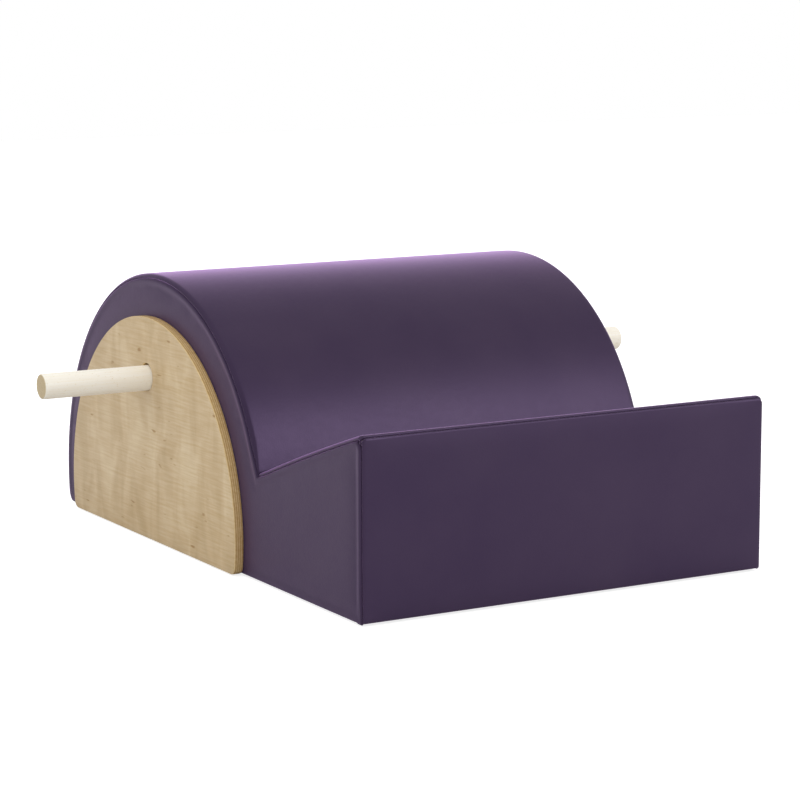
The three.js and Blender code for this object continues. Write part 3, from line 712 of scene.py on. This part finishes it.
def drill(length, radius, spot, sides=48, end_radius=None, upright=False):
    """A round cutter that starts at a spot and runs along X, or up. It may widen towards its end."""
    bm = bmesh.new()
    wide = end_radius or radius
    bmesh.ops.create_cone(bm, cap_ends=True, segments=sides, radius1=radius, radius2=wide, depth=abs(length))
    bmesh.ops.translate(bm, verts=bm.verts, vec=(0, 0, abs(length) / 2))
    if not upright:
        way = Matrix.Rotation(math.copysign(math.pi / 2, length), 3, "Y")
        bmesh.ops.rotate(bm, verts=bm.verts, cent=(0, 0, 0), matrix=way)
    bmesh.ops.translate(bm, verts=bm.verts, vec=spot)
    return object_from(bm, "drill")


def carve(piece, cutters):
    """Takes the cutters' shapes out of a piece, one after another, and removes them."""
    for cutter in cutters:
        cut = piece.modifiers.new("cut", "BOOLEAN")
        cut.object = cutter
        cut.solver = "EXACT"
        keep_modifiers(piece)
        bpy.data.objects.remove(cutter)


# %% [markdown]
# ## The side panels
# Each panel is a plate of 12 mm birch plywood, sawn to a large arc, with its edges broken and lacquered. It
# is drawn as an outline, filled, pushed out to its thickness and bevelled, and then drilled for the bar and
# for the inserts that its bolts go into.

# %% Side panels
panel_inner_x = 275.3 * mm
panel_thickness = 12 * mm
panel_foot = 2 * mm
panel_corner = 11 * mm
panel_edge = 1.5 * mm
bar_hole = Vector((0, 119, 211)) * mm
bar_hole_radius = 17.5 * mm
bar_hole_rim = 19.5 * mm
fixing_circle = panel_radius - 47 * mm
fixings = [panel_centre + towards(math.radians(angle)) * fixing_circle for angle in (15, 50, 130, 165)]


def panel_blank():
    """The left panel before it is drilled."""
    bm = bmesh.new()
    rise = panel_foot + panel_corner - panel_centre.z
    reach = math.sqrt((panel_radius - panel_corner) ** 2 - rise**2)
    lean = math.atan2(rise, reach)
    inner = Vector((-panel_inner_x, 0, 0))
    front = panel_centre + Vector((0, -reach, rise)) + inner
    rear = panel_centre + Vector((0, reach, rise)) + inner
    first = bm.verts.new(front + towards(-math.pi / 2) * panel_corner)
    spot = arc_from(bm, first, front, -math.pi / 2 - lean, 12)
    spot = arc_from(bm, spot, panel_centre + inner, 2 * lean - math.pi, 160)
    last = arc_from(bm, spot, rear, -math.pi / 2 - lean, 12)
    bmesh.ops.contextual_create(bm, geom=[last, first])
    bmesh.ops.contextual_create(bm, geom=bm.edges[:])
    pushed = verts_of(bmesh.ops.extrude_face_region(bm, geom=bm.faces[:])["geom"])
    bmesh.ops.translate(bm, verts=pushed, vec=(-panel_thickness, 0, 0))
    bmesh.ops.recalc_face_normals(bm, faces=bm.faces)
    rims = [e for e in bm.edges if abs(e.verts[0].co.x - e.verts[1].co.x) < 0.01 * mm]
    bmesh.ops.bevel(
        bm, geom=rims, offset=panel_edge, offset_type="OFFSET", segments=3, profile=0.5, affect="EDGES",
        material=-1,
    )
    return bm


def finish_panel(name, bm, side):
    """Drills a panel for the bar and its four inserts, and puts it in its CAD node's place."""
    piece = object_from(bm, name)
    outer = side * (panel_inner_x + panel_thickness)
    inner = side * panel_inner_x
    bore = drill(side * 30 * mm, bar_hole_radius, bar_hole + Vector((inner - side * 5 * mm, 0, 0)), sides=96)
    rim_start = bar_hole + Vector((outer - side * 0.8 * mm, 0, 0))
    rim = drill(side * 2 * mm, bar_hole_radius, rim_start, sides=96, end_radius=bar_hole_rim)
    pockets = [
        drill(side * 10.3 * mm, 5.3 * mm, spot + Vector((inner - side * 1 * mm, 0, 0)), sides=24)
        for spot in fixings
    ]
    carve(piece, [bore, rim, *pockets])
    shade(piece, 30)
    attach(piece, body)
    print(name, "has", len(piece.data.polygons), "faces")
    return piece


blank = panel_blank()
other_blank = mirrored_copy(blank)
left_panel = finish_panel("left_plywood_panel", blank, -1)
right_panel = finish_panel("right_plywood_panel", other_blank, 1)
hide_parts("left_side_panel")
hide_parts("right_side_panel")

# %% [markdown]
# ## Holes in the side covers
# Behind each panel the side's vinyl is cut out for the guide tube, and pierced for the four bolts.

# %% Pierce the side covers
for piece, side in ((left_cover, -1), (right_cover, 1)):
    start = Vector((side * 255 * mm, 0, 0))
    tube_hole = drill(side * 30 * mm, 21.3 * mm, bar_hole + start, sides=64)
    bolt_holes = [drill(side * 30 * mm, 3.3 * mm, spot + start, sides=16) for spot in fixings]
    carve(piece, [tube_hole, *bolt_holes])
    shade(piece, 60)
    print(piece.name, "is pierced and has", len(piece.data.polygons), "faces")

# %% [markdown]
# ## The handle bar
# A 32 mm dowel with its ends rounded over. It is turned from a cylinder of 96 sides, fine enough to stay
# round in a close view, and it rides on the CAD's sliding body.

# %% Handle bar
bar_radius = 16 * mm
bar_length = 860 * mm
bar_sag = 1.2 * mm
bm = bmesh.new()
bmesh.ops.create_cone(
    bm, cap_ends=True, segments=96, radius1=bar_radius, radius2=bar_radius, depth=bar_length
)
ends = [e for e in bm.edges if abs(e.verts[0].co.z - e.verts[1].co.z) < mm]
bmesh.ops.bevel(
    bm, geom=ends, offset=2.5 * mm, offset_type="OFFSET", segments=5, profile=0.5, affect="EDGES", material=-1
)
bmesh.ops.rotate(bm, verts=bm.verts, cent=(0, 0, 0), matrix=Matrix.Rotation(math.pi / 2, 3, "Y"))
bmesh.ops.translate(bm, verts=bm.verts, vec=(0, bar_hole.y, bar_hole.z - bar_sag))
bar = object_from(bm, "turned_handle_bar")
shade(bar, 40)
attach(bar, "handle")
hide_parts("handle_bar")

# %% [markdown]
# ## The foam
# Upholsterers cut foam from sheet with a hot wire or a saw and glue it to the wood, so its own shape is that
# of the CAD solids. Each piece starts as a merged copy of its solid and is drawn in a little at the ends
# where the covers are sewn, because the seam allowances lie there.


# %% Foam pieces
def foam_piece(name, cad_node, draw_in, pressed=0):
    """A foam piece from a CAD solid, smaller by a distance at each end along X, Y and Z.

    The ramp's foam is pressed down towards the lip, where its vinyl pulls tight.
    """
    bm = bmesh.new()
    bm.from_mesh(nodes[cad_node].data)
    bmesh.ops.remove_doubles(bm, verts=bm.verts, dist=0.01 * mm)
    low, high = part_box(cad_node)
    middle = (low + high) / 2
    share = [1 - 2 * d * mm / size for d, size in zip(draw_in, high - low)]
    bmesh.ops.scale(bm, verts=bm.verts, vec=share, space=Matrix.Translation(-middle))
    for v in bm.verts:
        if pressed and (Vector((0, v.co.y, v.co.z)) - ramp).length > ramp_radius - 8 * mm:
            v.co.z -= pressed * (well_y - v.co.y) / ramp_run
    piece = object_from(bm, name)
    piece.data.materials.clear()
    shade(piece, 30)
    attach(piece, body)
    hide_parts(cad_node)
    return piece


foam_pieces = [
    foam_piece("barrel_padding", "barrel_foam", (6, 0, 0)),
    foam_piece("ramp_padding", "ramp_foam", (6, 4, 0), pressed=2.9 * mm),
    foam_piece("front_padding", "front_foam", (6, 0.3, 4)),
    foam_piece("left_side_padding", "left_side_foam", (0.3, 4, 4)),
    foam_piece("right_side_padding", "right_side_foam", (0.3, 4, 4)),
]

# %% [markdown]
# ## The bottom liner
# Underneath, a black non-woven cloth closes the frame. It is cut to 532 by 809 mm and stapled tight, so it is
# a flat sheet that only puckers a little between its staples. Four holes let the rubber feet through.

# %% Bottom liner
liner_width = 532 * mm
liner_length = 809.1 * mm
staple_spacing = 60 * mm
pucker_height = 0.25 * mm
foot_hole = 18.5 * mm
foot_spots = [Vector((side * 200, y, 0)) * mm for side in (-1, 1) for y in (-360.6, 348)]
bm = bmesh.new()
bmesh.ops.create_grid(bm, x_segments=76, y_segments=116, size=0.5)
bmesh.ops.scale(bm, verts=bm.verts, vec=(liner_width, liner_length, 1))
for v in bm.verts:
    to_side = liner_width / 2 - abs(v.co.x)
    to_end = liner_length / 2 - abs(v.co.y)
    along = v.co.y if to_side < to_end else v.co.x
    pucker = math.cos(2 * math.pi * along / staple_spacing) * math.exp(-min(to_side, to_end) / (25 * mm))
    v.co.z = pucker_height * pucker
bmesh.ops.translate(bm, verts=bm.verts, vec=(0, -1.45 * mm, 2.3 * mm))
liner = object_from(bm, "stapled_bottom_liner")
thickness = liner.modifiers.new("thickness", "SOLIDIFY")
thickness.thickness = 0.5 * mm
thickness.offset = 0
keep_modifiers(liner)
carve(liner, [drill(10 * mm, foot_hole, spot - Vector((0, 0, 3 * mm)), upright=True) for spot in foot_spots])
shade(liner, 40)
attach(liner, body)
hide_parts("bottom_liner")

# %% [markdown]
# ## A helper for materials
# Colours are written as the hex values that a screen shows, and one function turns them to the linear values
# that the shader needs. One more adds a node with its settings and links, and returns the output that the
# next node takes, so that a material reads as a list. The scale of each pattern is one over its real size.


# %% Material helpers
def colour(value):
    """A hex colour as linear RGBA, and any other value as it is."""
    if not isinstance(value, str):
        return value
    parts = [int(value[i : i + 2], 16) / 255 for i in (1, 3, 5)]
    linear = [c / 12.92 if c <= 0.04045 else ((c + 0.055) / 1.055) ** 2.4 for c in parts]
    return (*linear, 1)


def fill(tree, made, inputs):
    """Fills a node's inputs with values and hex colours, or with links from other nodes' outputs."""
    for name, value in inputs.items():
        if isinstance(value, bpy.types.NodeSocket):
            tree.links.new(value, made.inputs[name])
        else:
            made.inputs[name].default_value = colour(value)


def node(tree, kind, inputs=None, stops=None, output=0, **settings):
    """Adds a shader node with its settings and inputs, and returns one of its outputs.

    A colour ramp also takes its stops, as colours by their place on the ramp.
    """
    made = tree.nodes.new("ShaderNode" + kind)
    for name, value in settings.items():
        setattr(made, name, value)
    fill(tree, made, inputs or {})
    if stops:
        points = made.color_ramp.elements
        while len(points) < len(stops):
            points.new(0.5)
        for point, (place, tint) in zip(points, stops.items()):
            point.position = place
            point.color = colour(tint)
    return made.outputs[output]


def new_material(name):
    """An empty material with a Principled shader, and its tree."""
    material = bpy.data.materials.new(name)
    material.use_nodes = True
    tree = material.node_tree
    return material, tree, tree.nodes["Principled BSDF"]


mixed = {"output": "Result", "data_type": "RGBA"}
multiplied = mixed | {"blend_type": "MULTIPLY"}


# %% [markdown]
# ## Vinyl
# Upholstery vinyl is a soft PVC skin on a knitted backing, embossed with a fine leather grain and finished
# semi-matt. The pebbles of such a grain are about 1 to 2 mm across, so the cells here are 1.8 mm wide.

# %% Vinyl material
vinyl, tree, shader = new_material("embossed_vinyl_aubergine")
place = node(tree, "TexCoord", output="Object")
pebbles = node(
    tree, "TexVoronoi", {"Vector": place, "Scale": 1 / (1.8 * mm), "Randomness": 0.9}, feature="SMOOTH_F1"
)
pores = node(tree, "TexNoise", {"Vector": place, "Scale": 1 / (1.11 * mm), "Detail": 3})
cloudy = node(tree, "TexNoise", {"Vector": place, "Scale": 1 / (111 * mm), "Detail": 3})
patches = node(tree, "TexNoise", {"Vector": place, "Scale": 1 / (7.14 * mm), "Detail": 2})
height = node(tree, "Math", {0: pebbles, 1: pores}, operation="ADD")
relief = node(tree, "Bump", {"Height": height, "Strength": 0.25, "Distance": 0.25 * mm})
tint = node(tree, "ValToRGB", {"Fac": cloudy}, {0.3: "#372b42", 0.7: "#3d3146"})
gloss = node(tree, "MapRange", {"Value": patches, "To Min": 0.36, "To Max": 0.46})
fill(tree, shader, {"Base Color": tint, "Roughness": gloss, "Normal": relief, "Specular IOR Level": 0.42})
fill(tree, shader, {"Specular Tint": "#d8b8f4", "Sheen Tint": "#e1b4f9"})
fill(tree, shader, {"Sheen Weight": 1.0, "Sheen Roughness": 0.3})
for piece in (barrel_cover, ramp_cover, front_cover, left_cover, right_cover):
    piece.data.materials.append(vinyl)

# %% [markdown]
# ## Birch plywood
# The panels are birch plywood under clear lacquer. Rotary-cut birch is pale and nearly plain: faint long
# fibres, soft clouds where the figure turns, and a few short dark flecks. On the sawn edge the nine plies
# show, about 1.3 mm each, by turns along and across their grain, with a thin dark line of glue between them.

# %% Plywood material
birch, tree, shader = new_material("lacquered_birch_plywood")
place = node(tree, "TexCoord", output="Object")
fibre_place = node(tree, "Mapping", {"Vector": place, "Scale": (1, 0.05, 1)})
fibres = node(tree, "TexNoise", {"Vector": fibre_place, "Scale": 1 / (2.38 * mm), "Detail": 4})
ripple_place = node(tree, "Mapping", {"Vector": place, "Scale": (1, 1, 0.4)})
clouds = node(
    tree, "TexNoise", {"Vector": ripple_place, "Scale": 1 / (38.5 * mm), "Detail": 3, "Distortion": 0.6}
)
fleck_place = node(tree, "Mapping", {"Vector": place, "Scale": (1, 0.22, 1)})
flecks = node(tree, "TexNoise", {"Vector": fleck_place, "Scale": 1 / (6.67 * mm), "Detail": 1})
cloud_tint = node(tree, "ValToRGB", {"Fac": clouds}, {0.3: "#c6ae88", 0.52: "#d2bb97", 0.72: "#dcc8a6"})
fibre_tint = node(tree, "ValToRGB", {"Fac": fibres}, {0.3: "#f2ebdd", 0.65: "#ffffff"})
fleck_tint = node(tree, "ValToRGB", {"Fac": flecks}, {0.72: "#ffffff", 0.8: "#d6c2a4"})
veneer = node(tree, "Mix", {"Factor": 1.0, "A": cloud_tint, "B": fibre_tint}, **multiplied)
veneer = node(tree, "Mix", {"Factor": 1.0, "A": veneer, "B": fleck_tint}, **multiplied)
across = node(tree, "SeparateXYZ", {"Vector": place})
across = node(tree, "Math", {0: across}, operation="ABSOLUTE")
plies = node(
    tree, "MapRange",
    {"Value": across, "From Min": panel_inner_x, "From Max": panel_inner_x + panel_thickness, "To Max": 9.0},
)
in_ply = node(tree, "Math", {0: plies}, operation="FRACT")
pairs = node(tree, "Math", {0: plies, 1: 2.0}, operation="MODULO")
by_turns = node(tree, "Math", {0: pairs, 1: 0.5}, operation="MULTIPLY")
ply_tint = node(tree, "ValToRGB", {"Fac": by_turns}, {0.48: "#e3cb9b", 0.52: "#cba66c"})
glue_line = node(
    tree, "ValToRGB", {"Fac": in_ply}, {0.0: "#a07c50", 0.1: "#ffffff", 0.9: "#ffffff", 1.0: "#a07c50"}
)
saw_marks = node(tree, "TexNoise", {"Vector": place, "Scale": 1 / (3.85 * mm), "Detail": 3})
saw_tint = node(tree, "ValToRGB", {"Fac": saw_marks}, {0.3: "#efe6d4", 0.7: "#ffffff"})
edge_tint = node(tree, "Mix", {"Factor": 1.0, "A": ply_tint, "B": glue_line}, **multiplied)
edge_tint = node(tree, "Mix", {"Factor": 1.0, "A": edge_tint, "B": saw_tint}, **multiplied)
facing = node(tree, "SeparateXYZ", {"Vector": node(tree, "TexCoord", output="Normal")})
facing = node(tree, "Math", {0: facing}, operation="ABSOLUTE")
on_face = node(tree, "MapRange", {"Value": facing, "From Min": 0.72, "From Max": 0.9})
wood_tint = node(tree, "Mix", {"Factor": on_face, "A": edge_tint, "B": veneer}, **mixed)
relief = node(tree, "Bump", {"Height": fibres, "Strength": 0.08, "Distance": 0.1 * mm})
gloss = node(tree, "MapRange", {"Value": fibres, "To Min": 0.38, "To Max": 0.5})
fill(tree, shader, {"Base Color": wood_tint, "Roughness": gloss, "Normal": relief})
fill(tree, shader, {"Specular IOR Level": 0.35})
for piece in (left_panel, right_panel):
    piece.data.materials.clear()
    piece.data.materials.append(birch)

# %% [markdown]
# ## The bar's wood
# The bar is a pale hardwood dowel, such as maple or bleached beech, sanded and waxed. Its grain runs along
# it in faint streaks, with short darker flecks, and the end grain drinks more wax and looks darker.

# %% Dowel material
dowel, tree, shader = new_material("waxed_pale_beech")
place = node(tree, "TexCoord", output="Object")
streak_place = node(tree, "Mapping", {"Vector": place, "Scale": (0.03, 1, 1)})
streaks = node(tree, "TexNoise", {"Vector": streak_place, "Scale": 1 / (1.92 * mm), "Detail": 4})
fleck_place = node(tree, "Mapping", {"Vector": place, "Scale": (0.3, 1, 1)})
flecks = node(tree, "TexNoise", {"Vector": fleck_place, "Scale": 1 / (1.11 * mm), "Detail": 1})
streak_tint = node(tree, "ValToRGB", {"Fac": streaks}, {0.3: "#f9f2e2", 0.7: "#fefaf0"})
fleck_tint = node(tree, "ValToRGB", {"Fac": flecks}, {0.66: "#ffffff", 0.8: "#e6d8bc"})
side_tint = node(tree, "Mix", {"Factor": 1.0, "A": streak_tint, "B": fleck_tint}, **multiplied)
pores = node(tree, "TexNoise", {"Vector": place, "Scale": 1 / (0.667 * mm), "Detail": 3})
end_tint = node(tree, "ValToRGB", {"Fac": pores}, {0.35: "#b7a27c", 0.65: "#cdbb97"})
facing = node(tree, "SeparateXYZ", {"Vector": node(tree, "TexCoord", output="Normal")})
facing = node(tree, "Math", {0: facing}, operation="ABSOLUTE")
at_end = node(tree, "MapRange", {"Value": facing, "From Min": 0.6, "From Max": 0.95})
dowel_tint = node(tree, "Mix", {"Factor": at_end, "A": side_tint, "B": end_tint}, **mixed)
relief = node(tree, "Bump", {"Height": streaks, "Strength": 0.06, "Distance": 0.1 * mm})
fill(tree, shader, {"Base Color": dowel_tint, "Roughness": 0.42, "Normal": relief, "Specular IOR Level": 0.4})
bar.data.materials.append(dowel)

# %% [markdown]
# ## The materials inside
# The frame is unfinished plywood and planed pine, the padding is cut foam, and the fixings are zinc-plated
# steel. None of it shows from outside, but a part that is opened in a cutaway should still look right.

# %% Frame plywood
# Sawn plywood without lacquer: a browner face than the panels', dull, with open fibres along the sheet.
frame_ply, tree, shader = new_material("unfinished_frame_plywood")
place = node(tree, "TexCoord", output="Object")
fibre_place = node(tree, "Mapping", {"Vector": place, "Scale": (1, 0.06, 1)})
fibres = node(tree, "TexNoise", {"Vector": fibre_place, "Scale": 1 / (3.33 * mm), "Detail": 4})
tint = node(tree, "ValToRGB", {"Fac": fibres}, {0.3: "#b8935f", 0.7: "#d3b385"})
relief = node(tree, "Bump", {"Height": fibres, "Strength": 0.2, "Distance": 0.3 * mm})
fill(tree, shader, {"Base Color": tint, "Roughness": 0.75, "Normal": relief})

# %% Pine
# Planed softwood: straight growth rings, darker where the late wood lies, and a dull surface.
pine, tree, shader = new_material("planed_pine")
place = node(tree, "TexCoord", output="Object")
ring_place = node(tree, "Mapping", {"Vector": place, "Scale": (0.04, 1, 1)})
rings = node(
    tree, "TexWave", {"Vector": ring_place, "Scale": 1 / (22.2 * mm), "Distortion": 5, "Detail": 2},
    output="Fac", wave_type="RINGS", rings_direction="X",
)
tint = node(tree, "ValToRGB", {"Fac": rings}, {0.2: "#e2c996", 0.85: "#c99c5c"})
relief = node(tree, "Bump", {"Height": rings, "Strength": 0.1, "Distance": 0.3 * mm})
fill(tree, shader, {"Base Color": tint, "Roughness": 0.65, "Normal": relief})

# %% Foam
# Polyurethane foam cut with a hot wire: open cells of about 1.2 mm, pale cream, with no gloss at all.
foam, tree, shader = new_material("cut_polyurethane_foam")
place = node(tree, "TexCoord", output="Object")
cells = node(tree, "TexVoronoi", {"Vector": place, "Scale": 1 / (1.2 * mm)})
tint = node(tree, "ValToRGB", {"Fac": cells}, {0.1: "#c9c1a8", 0.6: "#e4decb"})
relief = node(tree, "Bump", {"Height": cells, "Strength": 0.6, "Distance": 0.5 * mm})
fill(tree, shader, {"Base Color": tint, "Roughness": 0.95, "Normal": relief})

# %% Guide tube
# Extruded polypropylene: pale grey and waxy, with faint lines drawn along it by the die.
tube, tree, shader = new_material("extruded_polypropylene")
place = node(tree, "TexCoord", output="Object")
drawn_place = node(tree, "Mapping", {"Vector": place, "Scale": (0.02, 1, 1)})
drawn = node(tree, "TexNoise", {"Vector": drawn_place, "Scale": 1 / (1.43 * mm), "Detail": 2})
tint = node(tree, "ValToRGB", {"Fac": drawn}, {0.3: "#b4b6b3", 0.7: "#c2c4c1"})
gloss = node(tree, "MapRange", {"Value": drawn, "To Min": 0.35, "To Max": 0.5})
fill(tree, shader, {"Base Color": tint, "Roughness": gloss})

# %% Zinc-plated steel
# Steel with bright zinc on it: a cool grey metal, a little cloudy where the plating's crystals differ.
zinc, tree, shader = new_material("zinc_plated_steel")
place = node(tree, "TexCoord", output="Object")
bloom = node(tree, "TexNoise", {"Vector": place, "Scale": 1 / (1.67 * mm), "Detail": 3})
tint = node(tree, "ValToRGB", {"Fac": bloom}, {0.3: "#b3b7bb", 0.7: "#cdd0d2"})
gloss = node(tree, "MapRange", {"Value": bloom, "To Min": 0.28, "To Max": 0.42})
fill(tree, shader, {"Base Color": tint, "Roughness": gloss, "Metallic": 1.0})

# %% Rubber feet
# Moulded rubber: nearly black, with the fine dull skin that the mould leaves.
rubber, tree, shader = new_material("moulded_black_rubber")
place = node(tree, "TexCoord", output="Object")
skin = node(tree, "TexNoise", {"Vector": place, "Scale": 1 / (0.714 * mm), "Detail": 3})
tint = node(tree, "ValToRGB", {"Fac": skin}, {0.3: "#1d1d1f", 0.7: "#2b2b2d"})
relief = node(tree, "Bump", {"Height": skin, "Strength": 0.3, "Distance": 0.2 * mm})
fill(tree, shader, {"Base Color": tint, "Roughness": 0.85, "Normal": relief})

# %% [markdown]
# ## Non-woven cloth
# The liner is spunbonded polypropylene: fibres laid at random and welded together by a roller with a pattern
# of small dots, about 1.5 mm apart.

# %% Liner material
# The dots show as a fine relief, and the fibres as a slight unevenness of the black.
spunbond, tree, shader = new_material("black_spunbond_cloth")
place = node(tree, "TexCoord", output="Object")
dots = node(tree, "TexVoronoi", {"Vector": place, "Scale": 1 / (1.5 * mm), "Randomness": 0.15})
threads = node(tree, "TexNoise", {"Vector": place, "Scale": 1 / (1.25 * mm), "Detail": 5})
tint = node(tree, "ValToRGB", {"Fac": threads}, {0.3: "#151517", 0.7: "#29292c"})
relief = node(tree, "Bump", {"Height": dots, "Strength": 0.5, "Distance": 0.2 * mm})
fill(tree, shader, {"Base Color": tint, "Roughness": 0.9, "Normal": relief})
liner.data.materials.clear()
liner.data.materials.append(spunbond)

# %% Materials of the pieces inside
for piece in foam_pieces:
    piece.data.materials.append(foam)
finishes = {"rib": frame_ply, "skin": frame_ply, "board": frame_ply, "rail": pine, "tube": tube}
finishes |= {"bolt": zinc, "insert": zinc, "screw": zinc, "foot": rubber}
dressed = 0
for name, solid in nodes.items():
    if solid.hide_render:
        continue
    finish = next(finishes[word] for word in reversed(name.split("_")) if word in finishes)
    for slot in solid.material_slots:
        slot.material = finish
    dressed += 1
print(dressed, "CAD nodes stay and have their materials")

# %% [markdown]
# ## The stage
# A plain floor and a white surround. The floor shows the camera white, and keeps the object's soft shadow.
# Reflections alone see the surround turn grey from near the horizon upwards, higher on the right than on the
# left, so that white doesn't wash out the vinyl. One lamp gives the vinyl its highlight and no diffuse light,
# and the other lights it from behind and leaves no reflection.

# %% Stage and light
bm = bmesh.new()
bmesh.ops.create_grid(bm, x_segments=2, y_segments=2, size=8)
floor = object_from(bm, "floor")
paper, tree, shader = new_material("white_paper_floor")
fill(tree, shader, {"Base Color": "#c6c6c6", "Roughness": 0.9})
camera_ray = node(tree, "LightPath", output="Is Camera Ray")
clear_ray = node(tree, "LightPath", output="Is Transmission Ray")
glossy_ray = node(tree, "LightPath", output="Is Glossy Ray")
seen = node(tree, "Math", {0: camera_ray, 1: clear_ray}, operation="MAXIMUM")
glow = node(tree, "Math", {0: seen, 1: 0.8}, operation="MULTIPLY")
mirrored = node(tree, "Math", {0: glossy_ray, 1: 0.05}, operation="MULTIPLY")
glow = node(tree, "Math", {0: glow, 1: mirrored}, operation="MAXIMUM")
fill(tree, shader, {"Emission Color": "#ffffff", "Emission Strength": glow})
floor.data.materials.append(paper)

world = bpy.data.worlds.new("white_studio")
scene.world = world
world.use_nodes = True
tree = world.node_tree
background = tree.nodes["Background"]
around = node(tree, "TexCoord", output="Generated")
rightward = node(tree, "SeparateXYZ", {"Vector": around}, output="X")
upward = node(tree, "SeparateXYZ", {"Vector": around}, output="Z")
leftward = node(tree, "Math", {0: rightward, 1: -0.5}, operation="MULTIPLY")
up = node(tree, "Math", {0: upward, 1: leftward}, operation="ADD")
up = node(tree, "Math", {0: up, 1: 0.5}, operation="ADD")
studio = node(tree, "ValToRGB", {"Fac": up}, {0.35: "#ffffff", 0.55: (0.2, 0.2, 0.2, 1)})
glossy_ray = node(tree, "LightPath", output="Is Glossy Ray")
soft_ray = node(tree, "LightPath", output="Is Diffuse Ray")
white = node(tree, "Mix", {"Factor": glossy_ray, "A": "#ffffff", "B": studio}, **mixed)
level = node(tree, "MapRange", {"Value": soft_ray, "To Min": 1.0, "To Max": 1.15})
fill(tree, background, {"Color": white, "Strength": level})


def softbox(name, size, power, spot, target):
    """A square area lamp at a spot, turned to a target."""
    lamp = bpy.data.lights.new(name, "AREA")
    lamp.size = size
    lamp.energy = power
    made = bpy.data.objects.new(name, lamp)
    scene.collection.objects.link(made)
    made.location = spot
    made.rotation_euler = (Vector(target) - Vector(spot)).to_track_quat("-Z", "Y").to_euler()
    return made


card = softbox("reflection_card", size=1.8, power=56, spot=(1.42, -2.45, 1.75), target=(0, 0, 0.15))
card.visible_diffuse = False
rim = softbox("back_light", size=1.5, power=16, spot=(1.0, 2.6, 1.2), target=(0, 0, 0.3))
rim.visible_glossy = False
